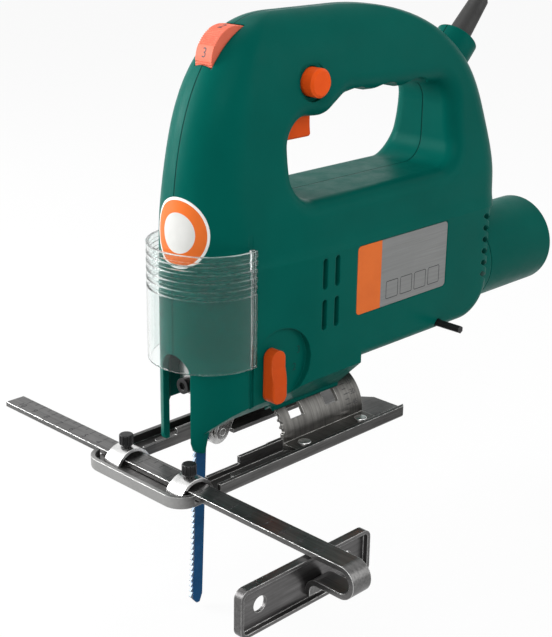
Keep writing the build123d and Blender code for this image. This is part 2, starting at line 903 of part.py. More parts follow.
# Saddle, a half-round steel bracket with cross slots for the tilt bolts
with BuildPart() as saddle:
    with BuildSketch(Plane.YZ.offset(saddle_front)):
        with Locations((0, tilt_z)):
            Circle(saddle_radius)
            Circle(saddle_radius - saddle_sheet, mode=Mode.SUBTRACT)
        with Locations((0, tilt_z - saddle_radius)):
            Rectangle(3 * saddle_radius, 2 * saddle_radius, mode=Mode.SUBTRACT)
        with GridLocations(2 * saddle_radius - saddle_sheet, 0, 2, 1):
            with Locations((0, (sole_sheet + tilt_z) / 2)):
                Rectangle(saddle_sheet, tilt_z - sole_sheet)
        with GridLocations(saddle_foot + saddle_radius - saddle_sheet, 0, 2, 1):
            with Locations((0, sole_sheet + saddle_sheet / 2)):
                Rectangle(saddle_foot - saddle_radius + saddle_sheet, saddle_sheet)
    extrude(amount=saddle_length)
    slot_side = 2 * saddle_radius * sin(radians(slot_span))
    slot_up = 2 * saddle_radius * cos(radians(slot_span))
    for x in bolt_x:
        with BuildSketch(Plane.YZ.offset(x - slot_width / 2)):
            with BuildLine():
                Polyline(
                    (0, tilt_z),
                    (slot_side, tilt_z + slot_up),
                    (0, tilt_z + 2 * saddle_radius),
                    (-slot_side, tilt_z + slot_up),
                    close=True,
                )
            make_face()
        extrude(amount=slot_width, mode=Mode.SUBTRACT)
    # Detent notches along the front edge
    for side in (-1, 1):
        for k in range(notch_count):
            turn = radians(side * (notch_first + notch_step * k))
            notch_plane = Plane(
                origin=(saddle_front, 0, tilt_z), x_dir=(1, 0, 0), z_dir=(0, sin(turn), cos(turn))
            )
            with BuildSketch(notch_plane):
                Circle(notch_radius)
            extrude(amount=saddle_radius + saddle_sheet, mode=Mode.SUBTRACT)
    with BuildSketch(Plane.XY):
        with Locations(*rivet_places):
            Circle(rivet_radius + seat)
    extrude(amount=sole_sheet + saddle_sheet, mode=Mode.SUBTRACT)
saddle.part.label = "saddle"
export_step(saddle.part, "parts/saddle.step")

with BuildPart() as sole_rivets:
    with BuildSketch(Plane.XY.offset(rivet_recess)):
        with Locations(*rivet_places):
            Circle(rivet_radius)
    extrude(amount=sole_sheet + saddle_sheet - rivet_recess)
    with BuildSketch(Plane.XY.offset(sole_sheet + saddle_sheet)):
        with Locations(*rivet_places):
            Circle(rivet_head_radius)
    extrude(amount=rivet_head_height)
    fillet(sole_rivets.edges().group_by(Axis.Z)[-1], 0.6 * rivet_head_height)
sole_rivets.part.label = "sole_rivets"
export_step(sole_rivets.part, "parts/sole_rivets.step")

# Tilt clamp: a curved shoe inside the saddle and two bolts up into the housing
with BuildPart() as bevel_shoe:
    shoe_radius = saddle_radius - saddle_sheet - gap
    with BuildSketch(Plane.YZ.offset(saddle_front + shoe_inset)):
        with Locations((0, tilt_z)):
            Circle(shoe_radius)
            Circle(shoe_radius - shoe_sheet, mode=Mode.SUBTRACT)
        with BuildLine():
            reach = 2 * shoe_radius
            Polyline(
                (0, tilt_z),
                (reach * sin(radians(shoe_half_angle)), tilt_z + reach * cos(radians(shoe_half_angle))),
                (-reach * sin(radians(shoe_half_angle)), tilt_z + reach * cos(radians(shoe_half_angle))),
                close=True,
            )
        make_face(mode=Mode.INTERSECT)
    extrude(amount=cradle_rear - saddle_front - shoe_inset)
    with BuildSketch(Plane.XY.offset(tilt_z)):
        with Locations(*[(x, 0) for x in bolt_x]):
            Circle(bolt_radius + seat)
    extrude(amount=saddle_radius, mode=Mode.SUBTRACT)
bevel_shoe.part.label = "bevel_shoe"
export_step(bevel_shoe.part, "parts/bevel_shoe.step")

with BuildPart() as bevel_bolts:
    shoe_inner = saddle_radius - saddle_sheet - gap - shoe_sheet
    head_top = tilt_z + sqrt(shoe_inner**2 - bolt_head_radius**2) - seat
    with BuildSketch(Plane.XY.offset(head_top)):
        with Locations(*[(x, 0) for x in bolt_x]):
            Circle(bolt_radius)
    extrude(amount=bolt_top - head_top)
    with BuildSketch(Plane.XY.offset(head_top - bolt_head_height)):
        with Locations(*[(x, 0) for x in bolt_x]):
            Circle(bolt_head_radius)
            RegularPolygon(0.5 * bolt_head_radius, 6, mode=Mode.SUBTRACT)
    extrude(amount=0.6 * bolt_head_height)
    with BuildSketch(Plane.XY.offset(head_top - 0.4 * bolt_head_height)):
        with Locations(*[(x, 0) for x in bolt_x]):
            Circle(bolt_head_radius)
    extrude(amount=0.4 * bolt_head_height)
bevel_bolts.part.label = "bevel_bolts"
export_step(bevel_bolts.part, "parts/bevel_bolts.step")

# Guide clips bridge the bar, and a knurled screw stands on each
with BuildPart() as guide_clips:
    for side in (-1, 1):
        with BuildSketch(Plane.XZ.offset(side * clip_y - clip_length / 2)):
            with Locations((0, -arch_drop)):
                Circle(clip_inner + clip_sheet)
                Circle(clip_inner, mode=Mode.SUBTRACT)
            with Locations((0, sole_sheet - 2 * clip_inner)):
                Rectangle(4 * clip_inner, 4 * clip_inner, mode=Mode.SUBTRACT)
        extrude(amount=clip_length)
    with BuildSketch(Plane.XY.offset(sole_sheet)):
        with GridLocations(0, 2 * clip_y, 1, 2):
            Circle(screw_radius + run)
    extrude(amount=2 * clip_top, mode=Mode.SUBTRACT)
guide_clips.part.label = "guide_clips"
export_step(guide_clips.part, "parts/guide_clips.step")

knob_z = clip_top + gap + collar_height
for side, name in ((-1, "guide_screw_left"), (1, "guide_screw_right")):
    with BuildPart() as guide_screw:
        with BuildSketch(Plane.XY.offset(bar_top + gap)):
            with Locations((0, side * clip_y)):
                Circle(screw_radius)
        extrude(amount=clip_top + gap - bar_top)
        with BuildSketch(Plane.XY.offset(clip_top + gap)):
            with Locations((0, side * clip_y)):
                Circle(collar_radius)
        extrude(amount=collar_height)
        with BuildSketch(Plane.XY.offset(knob_z)):
            with Locations((0, side * clip_y)):
                Circle(knob_radius)
        extrude(amount=knob_height)
        fillet(guide_screw.edges().group_by(Axis.Z)[-1], knob_round)
        with BuildSketch(Plane.XY.offset(knob_z)):
            with Locations((0, side * clip_y)):
                with PolarLocations(knob_radius, knob_flutes):
                    Circle(flute_radius)
        extrude(amount=knob_height, mode=Mode.SUBTRACT)
    guide_screw.part.label = name
    export_step(guide_screw.part, f"parts/{name}.step")

# Guide bar, folded under at its near end to carry the fence
with BuildPart() as guide_bar:
    bar_mid = bar_top - bar_sheet / 2
    leg_z = bar_mid - 2 * bend_radius
    with BuildSketch(Plane.YZ.offset(-bar_width / 2)):
        with BuildLine():
            tab_y = fence_y - fence_sheet - bar_sheet / 2
            end_y = bend_y + bar_sheet / 2
            FilletPolyline(
                (bar_far_end, bar_mid),
                (end_y, bar_mid),
                (end_y, leg_z),
                (tab_y, leg_z),
                (tab_y, fence_top - fence_height + fence_rim),
                radius=(bend_radius * 0.98, bend_radius * 0.98, 2 * bar_sheet),
            )
        trace(line_width=bar_sheet)
    extrude(amount=bar_width)
guide_bar.part.label = "guide_bar"
export_step(guide_bar.part, "parts/guide_bar.step")

with BuildPart() as fence_plate:
    fence_mid_z = fence_top - fence_height / 2
    with BuildSketch(Plane.XZ.offset(-fence_y)):
        with Locations((fence_x, fence_mid_z)):
            RectangleRounded(fence_length, fence_height, fence_rim)
    extrude(amount=fence_rim)
    with BuildSketch(Plane.XZ.offset(-fence_y + fence_sheet)):
        with Locations((fence_x, fence_mid_z)):
            RectangleRounded(
                fence_length - 2 * fence_sheet, fence_height - 2 * fence_sheet, fence_rim - fence_sheet
            )
    extrude(amount=fence_rim, mode=Mode.SUBTRACT)
    with BuildSketch(Plane.XZ.offset(-fence_y)):
        with Locations((fence_x, fence_mid_z)):
            with GridLocations(fence_hole_spacing, 0, 2, 1):
                Circle(fence_hole_radius)
    extrude(amount=fence_rim, mode=Mode.SUBTRACT)
fence_plate.part.label = "fence_plate"
export_step(fence_plate.part, "parts/fence_plate.step")

# Clear guard round the head, sliding in the housing's rails
with BuildPart() as guard:
    with BuildSketch(Plane.XY.offset(guard_bottom)):
        with Locations((guard_x, 0)):
            Circle(guard_radius)
            Circle(guard_radius - guard_sheet, mode=Mode.SUBTRACT)
        with Locations((guard_rear + guard_radius, 0)):
            Rectangle(2 * guard_radius, 3 * guard_radius, mode=Mode.SUBTRACT)
        lip_inner = guard_radius - guard_sheet - guard_lip
        lip_outer = guard_radius - guard_sheet + lip_lap
        with GridLocations(0, lip_inner + lip_outer, 1, 2):
            with Locations((guard_rear - guard_lip / 2, 0)):
                Rectangle(guard_lip, lip_outer - lip_inner)
    extrude(amount=guard_top - guard_bottom)
    for k in range(guard_grooves):
        with BuildSketch(Plane.XY.offset(guard_top - groove_first - k * groove_pitch)):
            with Locations((guard_x, 0)):
                Circle(guard_radius + lap)
                Circle(guard_radius - 0.35 * guard_sheet, mode=Mode.SUBTRACT)
        extrude(amount=-0.45 * groove_pitch, mode=Mode.SUBTRACT)
guard.part.label = "guard"
export_step(guard.part, "parts/guard.step")

# Controls in the handle
with BuildPart() as trigger:
    flange_z = trigger_shoulder + gap
    with BuildSketch(Plane.XZ):
        with BuildLine():
            Polyline(
                (trigger_rear, flange_z),
                (trigger_rear + trigger_lip, flange_z),
                (trigger_rear + trigger_lip, flange_z + trigger_lip),
                (trigger_front - trigger_lip, flange_z + trigger_lip),
                (trigger_front - trigger_lip, flange_z),
                (trigger_front, flange_z),
                (trigger_front, trigger_bottom),
                (trigger_rear, trigger_bottom),
            )
            ThreePointArc(
                (trigger_rear, trigger_bottom),
                (trigger_rear - trigger_dish, (trigger_bottom + flange_z) / 2),
                (trigger_rear, flange_z),
            )
        make_face()
    extrude(amount=trigger_half, both=True)
    fillet(trigger.edges().filter_by(lambda e: e.center().Z < flange_z - trigger_round), trigger_round)
trigger.part.label = "trigger"
export_step(trigger.part, "parts/trigger.step")

with BuildPart() as switch_body:
    with BuildSketch(Plane.XZ):
        with Locations(((switch_front + switch_rear) / 2, (switch_low + switch_top) / 2)):
            RectangleRounded(switch_rear - switch_front, switch_height, switch_round)
    extrude(amount=trigger_half + gap - seat, both=True)
    with BuildSketch(Plane.YZ.offset(switch_rear)):
        with GridLocations(terminal_spacing, 0, 2, 1):
            with Locations((0, lead_z)):
                Rectangle(terminal_sheet, terminal_size)
    extrude(amount=-terminal_size, mode=Mode.SUBTRACT)
switch_body.part.label = "switch_body"
export_step(switch_body.part, "parts/switch_body.step")

with BuildPart() as lock_button:
    lock_inner = trigger_half + gap + lock_travel + gap
    with BuildSketch(Plane.XZ.offset(lock_inner)):
        with Locations((lock_x, lock_z)):
            Circle(lock_radius)
    extrude(amount=lock_face - lock_inner)
    chamfer(lock_button.edges().group_by(Axis.Y)[0], lock_edge)
lock_button.part.label = "lock_button"
export_step(lock_button.part, "parts/lock_button.step")

with BuildPart() as speed_dial:
    with BuildSketch(Plane.XZ):
        with Locations((dial_x, dial_z)):
            Circle(dial_radius)
            for k in range(dial_panels):
                step = 360 / dial_panels
                with PolarLocations(
                    dial_radius, dial_ribs, start_angle=k * step, angular_range=dial_rib_share * step
                ):
                    Circle(dial_rib_radius, mode=Mode.SUBTRACT)
    extrude(amount=dial_half, both=True)
    with BuildSketch(Plane.XZ):
        with Locations((dial_x, dial_z)):
            Circle(dial_axle)
    extrude(amount=axle_reach - gap, both=True)
speed_dial.part.label = "speed_dial"
export_step(speed_dial.part, "parts/speed_dial.step")

with BuildPart() as speed_board:
    board_low = board_z - board_room / 2 + seat
    with BuildSketch(Plane.XY.offset(board_low)):
        with Locations((board_x, 0)):
            Rectangle(board_length, 2 * board_half)
    extrude(amount=board_sheet)
    with BuildSketch(Plane.XY.offset(board_low + board_sheet)):
        with Locations((board_x + chip_shift, 0)):
            Rectangle(chip_length, chip_width)
    extrude(amount=chip_height)
    with BuildSketch(Plane.XY.offset(board_low + board_sheet)):
        with Locations((board_x + cap_shift, cap_spacing / 2), (board_x + cap_shift, -cap_spacing / 2)):
            Circle(cap_radius)
    extrude(amount=cap_height)
speed_board.part.label = "speed_board"
export_step(speed_board.part, "parts/speed_board.step")

# Orbit lever on the left side, with the shaft that sets the roller's rocker
with BuildPart() as orbit_lever:
    with BuildSketch(Plane.XZ.offset(lever_inner)):
        with Locations((lever_x, lever_z)):
            Circle(lever_hub)
        with Locations(
            (lever_x - lever_spread, lever_z - lever_drop), (lever_x + lever_spread, lever_z - lever_drop)
        ):
            Circle(lever_foot)
        make_hull()
    extrude(amount=lever_low_face - lever_inner)
    with BuildSketch(Plane.YZ.offset(lever_x)):
        with BuildLine():
            Polyline(
                (-lever_top_face, lever_z + 2 * lever_hub),
                (-lever_top_face, lever_z - lever_hub),
                (-lever_low_face - lever_ease, lever_z - lever_drop + lever_toe),
                (-lever_low_face - lever_ease, lever_z + 2 * lever_hub),
                close=True,
            )
        make_face()
    extrude(amount=lever_spread + lever_hub + lap, both=True, mode=Mode.SUBTRACT)
    fillet(orbit_lever.faces().sort_by(Axis.Y)[0].edges(), lever_round)
orbit_lever.part.label = "orbit_lever"
export_step(orbit_lever.part, "parts/orbit_lever.step")

rocker_half = roller_width / 2 + gap + rocker_sheet
with BuildPart() as orbit_shaft:
    with BuildSketch(Plane.XZ.offset(lever_inner)):
        with Locations((lever_x, lever_z)):
            Circle(orbit_shaft_radius)
    extrude(amount=-lever_inner - rocker_half)
    with BuildSketch(Plane.XZ.offset(rocker_half)):
        with Locations((lever_x, lever_z - 1.5 * orbit_shaft_radius)):
            Rectangle(3 * orbit_shaft_radius, 2 * orbit_shaft_radius)
    extrude(amount=-2 * rocker_half, mode=Mode.SUBTRACT)
orbit_shaft.part.label = "orbit_shaft"
export_step(orbit_shaft.part, "parts/orbit_shaft.step")

# Dust spout, plugged into the housing's collar
with BuildPart() as dust_spout:
    with BuildSketch(Plane.YZ.offset(collar_end + seam)):
        with Locations((0, spout_z)):
            Circle(spout_radius)
            Circle(spout_radius - spout_wall, mode=Mode.SUBTRACT)
    extrude(amount=spout_end - collar_end - seam)
    with BuildSketch(Plane.YZ.offset(collar_end - spigot_length)):
        with Locations((0, spout_z)):
            Circle(spigot_radius)
            Circle(spigot_radius - spout_wall, mode=Mode.SUBTRACT)
    extrude(amount=spigot_length + seam)
    with BuildSketch(Plane.YZ.offset(collar_end + seam)):
        with Locations((0, spout_z)):
            Circle(spout_radius)
            Circle(spigot_radius - spout_wall, mode=Mode.SUBTRACT)
    extrude(amount=spout_wall)
    fillet(dust_spout.edges().group_by(Axis.X)[-1].sort_by(SortBy.LENGTH)[-1], spout_round)
dust_spout.part.label = "dust_spout"
export_step(dust_spout.part, "parts/dust_spout.step")

# Hex key parked across the motor body
with BuildPart() as hex_key:
    with BuildLine():
        key_path = FilletPolyline(
            (key_x, key_tip, key_z),
            (key_x, key_bend, key_z),
            (key_x - key_arm, key_bend, key_z),
            radius=2.5 * key_radius,
        )
    with BuildSketch(Plane(origin=(key_x, key_tip, key_z), z_dir=(0, 1, 0))):
        RegularPolygon(key_radius, 6)
    sweep()
hex_key.part.label = "hex_key"
export_step(hex_key.part, "parts/hex_key.step")


def sector(inner, outer, half_angle, middle):
    # An annular sector about its sketch's origin
    def spot(radius, angle):
        return (radius * cos(radians(angle)), radius * sin(radians(angle)))

    low = middle - half_angle
    high = middle + half_angle
    with BuildSketch() as piece:
        with BuildLine():
            ThreePointArc(spot(inner, low), spot(inner, middle), spot(inner, high))
            Line(spot(inner, high), spot(outer, high))
            ThreePointArc(spot(outer, high), spot(outer, middle), spot(outer, low))
            Line(spot(outer, low), spot(inner, low))
        make_face()
    return piece.sketch


def tooth_points(teeth, root, tip, root_width, tip_width, first):
    # Straight-sided teeth round a wheel
    points = []
    for k in range(teeth):
        middle = radians(first + 360 * k / teeth)
        for radius, offset in (
            (root, -root_width / 2 / root),
            (tip, -tip_width / 2 / tip),
            (tip, tip_width / 2 / tip),
            (root, root_width / 2 / root),
        ):
            points.append((radius * cos(middle + offset), radius * sin(middle + offset)))
    return points


# Motor
with BuildPart() as gear_plate:
    with BuildSketch(Plane.YZ.offset(plate_x)):
        with Locations((0, (gear_case_z + head_cavity_top) / 2)):
            Rectangle(2 * (cavity_half - seat), head_cavity_top - gear_case_z - 2 * seat)
        with Locations((0, motor_z)):
            Circle(front_bearing_radius + seat, mode=Mode.SUBTRACT)
        with Locations((0, gear_z)):
            Circle(gear_shaft_radius + seat, mode=Mode.SUBTRACT)
    extrude(amount=plate_width)
gear_plate.part.label = "gear_plate"
export_step(gear_plate.part, "parts/gear_plate.step")

front_bearing_x = plate_x + (plate_width - bearing_width) / 2
for name, x, radius in (
    ("front_bearing", front_bearing_x, front_bearing_radius),
    ("rear_bearing", rear_bearing_x, rear_bearing_radius),
):
    with BuildPart() as bearing:
        with BuildSketch(Plane.YZ.offset(x)):
            with Locations((0, motor_z)):
                Circle(radius)
                Circle(motor_shaft_radius + run, mode=Mode.SUBTRACT)
        extrude(amount=bearing_width)
        # Shield grooves between the rings
        for face_x, inward in ((x, 1), (x + bearing_width, -1)):
            with BuildSketch(Plane.YZ.offset(face_x)):
                with Locations((0, motor_z)):
                    Circle(0.82 * radius)
                    Circle(0.6 * radius, mode=Mode.SUBTRACT)
            extrude(amount=inward * bearing_groove, mode=Mode.SUBTRACT)
    bearing.part.label = name
    export_step(bearing.part, f"parts/{name}.step")

stator_plane = Plane(origin=(stator_x, 0, motor_z), x_dir=(0, 1, 0), z_dir=(1, 0, 0))
with BuildPart() as stator_core:
    with BuildSketch(stator_plane):
        Circle(stator_radius)
        Circle(stator_bore, mode=Mode.SUBTRACT)
    extrude(amount=stator_length)
    with BuildSketch(stator_plane):
        add(sector(stator_bore - lap, coil_slot_radius, coil_slot_angle, 90))
        add(sector(stator_bore - lap, coil_slot_radius, coil_slot_angle, -90))
    extrude(amount=stator_length, mode=Mode.SUBTRACT)
stator_core.part.label = "stator_core"
export_step(stator_core.part, "parts/stator_core.step")

with BuildPart() as field_coils:
    with BuildSketch(stator_plane.offset(-coil_end)):
        add(sector(stator_bore + gap, coil_slot_radius - seat, coil_slot_angle - coil_slack, 90))
        add(sector(stator_bore + gap, coil_slot_radius - seat, coil_slot_angle - coil_slack, -90))
    extrude(amount=stator_length + 2 * coil_end)
    for start in (-coil_end, stator_length + seat):
        with BuildSketch(stator_plane.offset(start)):
            Circle(coil_slot_radius - seat)
            Circle(stator_bore + gap, mode=Mode.SUBTRACT)
        extrude(amount=coil_end - seat)
field_coils.part.label = "field_coils"
export_step(field_coils.part, "parts/field_coils.step")

brush_x = commutator_x + commutator_length / 2
brush_inner = commutator_radius + gap
with BuildPart() as brush_holders:
    with BuildSketch(Plane.YZ.offset(brush_x - brush_size / 2 - holder_wall)):
        with GridLocations(2 * brush_inner + 2 * holder_inset + holder_length, 0, 2, 1):
            with Locations((0, motor_z)):
                Rectangle(holder_length, brush_size + 2 * holder_wall)
        with Locations((0, motor_z)):
            Circle(stator_radius, mode=Mode.INTERSECT)
    extrude(amount=brush_size + 2 * holder_wall)
    with BuildSketch(Plane.XZ):
        with Locations((brush_x, motor_z)):
            Rectangle(brush_size + 2 * seat, brush_size + 2 * seat)
    extrude(amount=brush_inner + brush_length, both=True, mode=Mode.SUBTRACT)
brush_holders.part.label = "brush_holders"
export_step(brush_holders.part, "parts/brush_holders.step")

with BuildPart() as carbon_brushes:
    for side in (-1, 1):
        with BuildSketch(Plane.XZ.offset(side * brush_inner)):
            with Locations((brush_x, motor_z)):
                Rectangle(brush_size, brush_size)
        extrude(amount=side * (brush_length - seat))
carbon_brushes.part.label = "carbon_brushes"
export_step(carbon_brushes.part, "parts/carbon_brushes.step")

# Armature, turning in the two bearings, with the pinion cut on its shaft
pinion_tip = tooth_module * (pinion_teeth / 2 + 1)
gear_tip = tooth_module * (gear_teeth / 2 + 1)
centres = gear_z - motor_z
pinion_root = centres - gear_tip - tooth_clearance
gear_root = centres - pinion_tip - tooth_clearance
with BuildPart() as armature_shaft:
    with BuildSketch(Plane(origin=(pinion_x, 0, motor_z), x_dir=(0, 1, 0), z_dir=(1, 0, 0))):
        with BuildLine():
            Polyline(
                tooth_points(
                    pinion_teeth, pinion_root, pinion_tip, pinion_root_width, pinion_tip_width, 90
                ),
                close=True,
            )
        make_face()
    extrude(amount=front_bearing_x - pinion_x - gap)
    with BuildSketch(Plane.YZ.offset(front_bearing_x - gap)):
        with Locations((0, motor_z)):
            Circle(motor_shaft_radius)
    extrude(amount=rear_bearing_x + bearing_width - gap - front_bearing_x)
armature_shaft.part.label = "armature_shaft"
export_step(armature_shaft.part, "parts/armature_shaft.step")

core_radius = stator_bore - rotor_gap
with BuildPart() as armature_core:
    with BuildSketch(stator_plane):
        Circle(core_radius)
        with PolarLocations(core_radius - wire_slot_inset, commutator_bars):
            Circle(wire_slot_radius, mode=Mode.SUBTRACT)
        Circle(motor_shaft_radius + seat, mode=Mode.SUBTRACT)
    extrude(amount=stator_length)
armature_core.part.label = "armature_core"
export_step(armature_core.part, "parts/armature_core.step")

with BuildPart() as armature_winding:
    for start in (-winding_length - seat, stator_length + seat):
        with BuildSketch(stator_plane.offset(start)):
            Circle(winding_radius)
            Circle(motor_shaft_radius + seat, mode=Mode.SUBTRACT)
        extrude(amount=winding_length)
armature_winding.part.label = "armature_winding"
export_step(armature_winding.part, "parts/armature_winding.step")

with BuildPart() as commutator:
    with BuildSketch(Plane(origin=(commutator_x, 0, motor_z), x_dir=(0, 1, 0), z_dir=(1, 0, 0))):
        Circle(commutator_radius)
        with PolarLocations(commutator_radius, commutator_bars):
            Rectangle(2 * bar_gap_depth, bar_gap, mode=Mode.SUBTRACT)
        Circle(motor_shaft_radius + seat, mode=Mode.SUBTRACT)
    extrude(amount=commutator_length)
commutator.part.label = "commutator"
export_step(commutator.part, "parts/commutator.step")

fan_plane = Plane(origin=(fan_x, 0, motor_z), x_dir=(0, 1, 0), z_dir=(1, 0, 0))
with BuildPart() as fan:
    with BuildSketch(fan_plane):
        with PolarLocations((fan_radius - fan_tip + fan_hub) / 2, fan_blades):
            Rectangle(fan_radius - fan_tip - fan_hub, fan_sheet, rotation=fan_rake)
        Circle(fan_hub)
    extrude(amount=fan_width)
    with BuildSketch(fan_plane.offset(fan_width - fan_sheet)):
        Circle(fan_radius)
    extrude(amount=fan_sheet)
    with BuildSketch(fan_plane):
        Circle(motor_shaft_radius + seat)
    extrude(amount=fan_width, mode=Mode.SUBTRACT)
fan.part.label = "fan"
export_step(fan.part, "parts/fan.step")

# Reduction gear with its crank pin
with BuildPart() as drive_gear:
    with BuildSketch(Plane(origin=(gear_x, 0, gear_z), x_dir=(0, 1, 0), z_dir=(1, 0, 0))):
        with BuildLine():
            space_down = -90 + 180 / gear_teeth
            Polyline(
                tooth_points(gear_teeth, gear_root, gear_tip, gear_root_width, gear_tip_width, space_down),
                close=True,
            )
        make_face()
        with PolarLocations(web_radius, web_holes, start_angle=web_start, angular_range=web_span):
            Circle(gear_web, mode=Mode.SUBTRACT)
    extrude(amount=gear_width)
    with BuildSketch(Plane.YZ.offset(gear_x + gear_width)):
        with Locations((0, gear_z)):
            Circle(2 * gear_shaft_radius)
    extrude(amount=plate_x - gear_x - gear_width - gap)
    with BuildSketch(Plane.YZ.offset(gear_x)):
        with Locations((0, gear_z)):
            Circle(gear_shaft_radius + run)
    extrude(amount=plate_x - gear_x, mode=Mode.SUBTRACT)
    with BuildSketch(Plane.YZ.offset(gear_x)):
        with Locations((0, gear_z - crank_throw)):
            Circle(crank_radius + seat)
    extrude(amount=gear_width, mode=Mode.SUBTRACT)
drive_gear.part.label = "drive_gear"
export_step(drive_gear.part, "parts/drive_gear.step")

with BuildPart() as gear_shaft:
    with BuildSketch(Plane.YZ.offset(gear_x)):
        with Locations((0, gear_z)):
            Circle(gear_shaft_radius)
    extrude(amount=plate_rear - gear_x)
gear_shaft.part.label = "gear_shaft"
export_step(gear_shaft.part, "parts/gear_shaft.step")

with BuildPart() as crank_pin:
    with BuildSketch(Plane.YZ.offset(yoke_rear + gap)):
        with Locations((0, gear_z - crank_throw)):
            Circle(crank_radius)
    extrude(amount=gear_x + gear_width - yoke_rear - gap)
crank_pin.part.label = "crank_pin"
export_step(crank_pin.part, "parts/crank_pin.step")

# Plunger with its cross slot, sliding in the swinging carrier
yoke_z = gear_z - crank_throw
with BuildPart() as plunger:
    with BuildSketch(Plane.XY.offset(rod_bottom)):
        with Locations((plunger_x, 0)):
            Circle(plunger_radius)
    extrude(amount=plunger_top - rod_bottom)
    with BuildSketch(Plane.YZ.offset(plunger_x)):
        with Locations((0, yoke_z)):
            RectangleRounded(2 * yoke_half, yoke_height, yoke_round)
    extrude(amount=yoke_rear - plunger_x)
    with BuildSketch(Plane.YZ.offset(yoke_front)):
        with Locations((0, yoke_z)):
            Rectangle(2 * (yoke_half - yoke_wall), slider_size + 2 * run)
    extrude(amount=yoke_rear - yoke_front, mode=Mode.SUBTRACT)
plunger.part.label = "plunger"
export_step(plunger.part, "parts/plunger.step")

with BuildPart() as yoke_slider:
    with BuildSketch(Plane.YZ.offset(yoke_front)):
        with Locations((0, yoke_z)):
            Rectangle(slider_size, slider_size)
            Circle(crank_radius + run, mode=Mode.SUBTRACT)
    extrude(amount=yoke_rear - yoke_front)
yoke_slider.part.label = "yoke_slider"
export_step(yoke_slider.part, "parts/yoke_slider.step")

with BuildPart() as plunger_carrier:
    frame_low = lower_bushing_z - bushing_height / 2
    frame_high = upper_bushing_z + bushing_height / 2
    window_low = lower_bushing_z + bushing_height / 2
    window_high = upper_bushing_z - bushing_height / 2
    with BuildSketch(Plane.YZ.offset(carrier_x)):
        with Locations((0, (frame_low + head_cavity_top - 2 * gap) / 2)):
            RectangleRounded(2 * carrier_half, head_cavity_top - 2 * gap - frame_low, carrier_round)
        with Locations((0, (head_cavity_top + carrier_pin_z) / 2)):
            Rectangle(2 * arm_half, carrier_pin_z - head_cavity_top + 2 * carrier_cap)
        with Locations((0, (window_low + window_high) / 2)):
            Rectangle(2 * (yoke_half + lap), window_high - window_low, mode=Mode.SUBTRACT)
    extrude(amount=carrier_sheet)
    for z in (frame_low, window_high):
        with BuildSketch(Plane.XY.offset(z)):
            with Locations((plunger_x, 0)):
                Circle(bushing_radius + carrier_wall)
            with Locations(((plunger_x + carrier_x) / 2 + lap, 0)):
                Rectangle(carrier_x - plunger_x + 2 * lap, 2 * arm_half)
        extrude(amount=bushing_height)
    with BuildSketch(Plane.XZ):
        with Locations((carrier_pin_x, carrier_pin_z)):
            Circle(pin_radius + pin_wall)
    extrude(amount=arm_half, both=True)
    with BuildSketch(Plane.XZ):
        with Locations((carrier_pin_x, carrier_pin_z)):
            Circle(pin_radius + run)
    extrude(amount=arm_half, both=True, mode=Mode.SUBTRACT)
    with BuildSketch(Plane.XY.offset(frame_low)):
        with Locations((plunger_x, 0)):
            Circle(bushing_radius + seat)
    extrude(amount=frame_high - frame_low, mode=Mode.SUBTRACT)
    with BuildSketch(Plane.XY.offset(frame_high)):
        with Locations((plunger_x, 0)):
            Circle(plunger_radius + gap)
    extrude(amount=plunger_top, mode=Mode.SUBTRACT)
plunger_carrier.part.label = "plunger_carrier"
export_step(plunger_carrier.part, "parts/plunger_carrier.step")

with BuildPart() as plunger_bushings:
    for z in (frame_low, window_high):
        with BuildSketch(Plane.XY.offset(z)):
            with Locations((plunger_x, 0)):
                Circle(bushing_radius)
                Circle(plunger_radius + run, mode=Mode.SUBTRACT)
        extrude(amount=bushing_height)
plunger_bushings.part.label = "plunger_bushings"
export_step(plunger_bushings.part, "parts/plunger_bushings.step")

for name, x, z, reach in (
    ("carrier_pin", carrier_pin_x, carrier_pin_z, carrier_reach),
    ("rocker_pin", rocker_pin_x, rocker_pin_z, rocker_reach),
):
    with BuildPart() as pin:
        with BuildSketch(Plane.XZ):
            with Locations((x, z)):
                Circle(pin_radius)
        extrude(amount=reach - seat, both=True)
    pin.part.label = name
    export_step(pin.part, f"parts/{name}.step")

# Blade clamp on the plunger's end, and the blade
with BuildPart() as blade_clamp:
    with BuildSketch(Plane.XY.offset(clamp_bottom)):
        with Locations(((clamp_front + clamp_rear) / 2, 0)):
            RectangleRounded(clamp_rear - clamp_front, 2 * clamp_half, clamp_round)
    extrude(amount=clamp_top - clamp_bottom)
    with BuildSketch(Plane.XY.offset(rod_bottom)):
        with Locations((plunger_x, 0)):
            Circle(plunger_radius + seat)
    extrude(amount=clamp_top - rod_bottom, mode=Mode.SUBTRACT)
    with BuildSketch(Plane.XY.offset(clamp_bottom)):
        with Locations((tang_x, 0)):
            Rectangle(tang_width + 2 * seat, blade_sheet + 2 * seat)
    extrude(amount=tang_top + seat - clamp_bottom, mode=Mode.SUBTRACT)
    with BuildSketch(Plane.YZ.offset(clamp_front)):
        with Locations((0, clamp_screw_z)):
            Circle(clamp_screw_radius + seat)
    extrude(amount=tang_x - tang_width / 2 - clamp_front, mode=Mode.SUBTRACT)
    with BuildSketch(Plane.XZ.offset(clamp_half)):
        with Locations((tang_x, side_screw_z)):
            Circle(clamp_screw_radius + seat)
    extrude(amount=-clamp_half + blade_sheet / 2, mode=Mode.SUBTRACT)
blade_clamp.part.label = "blade_clamp"
export_step(blade_clamp.part, "parts/blade_clamp.step")

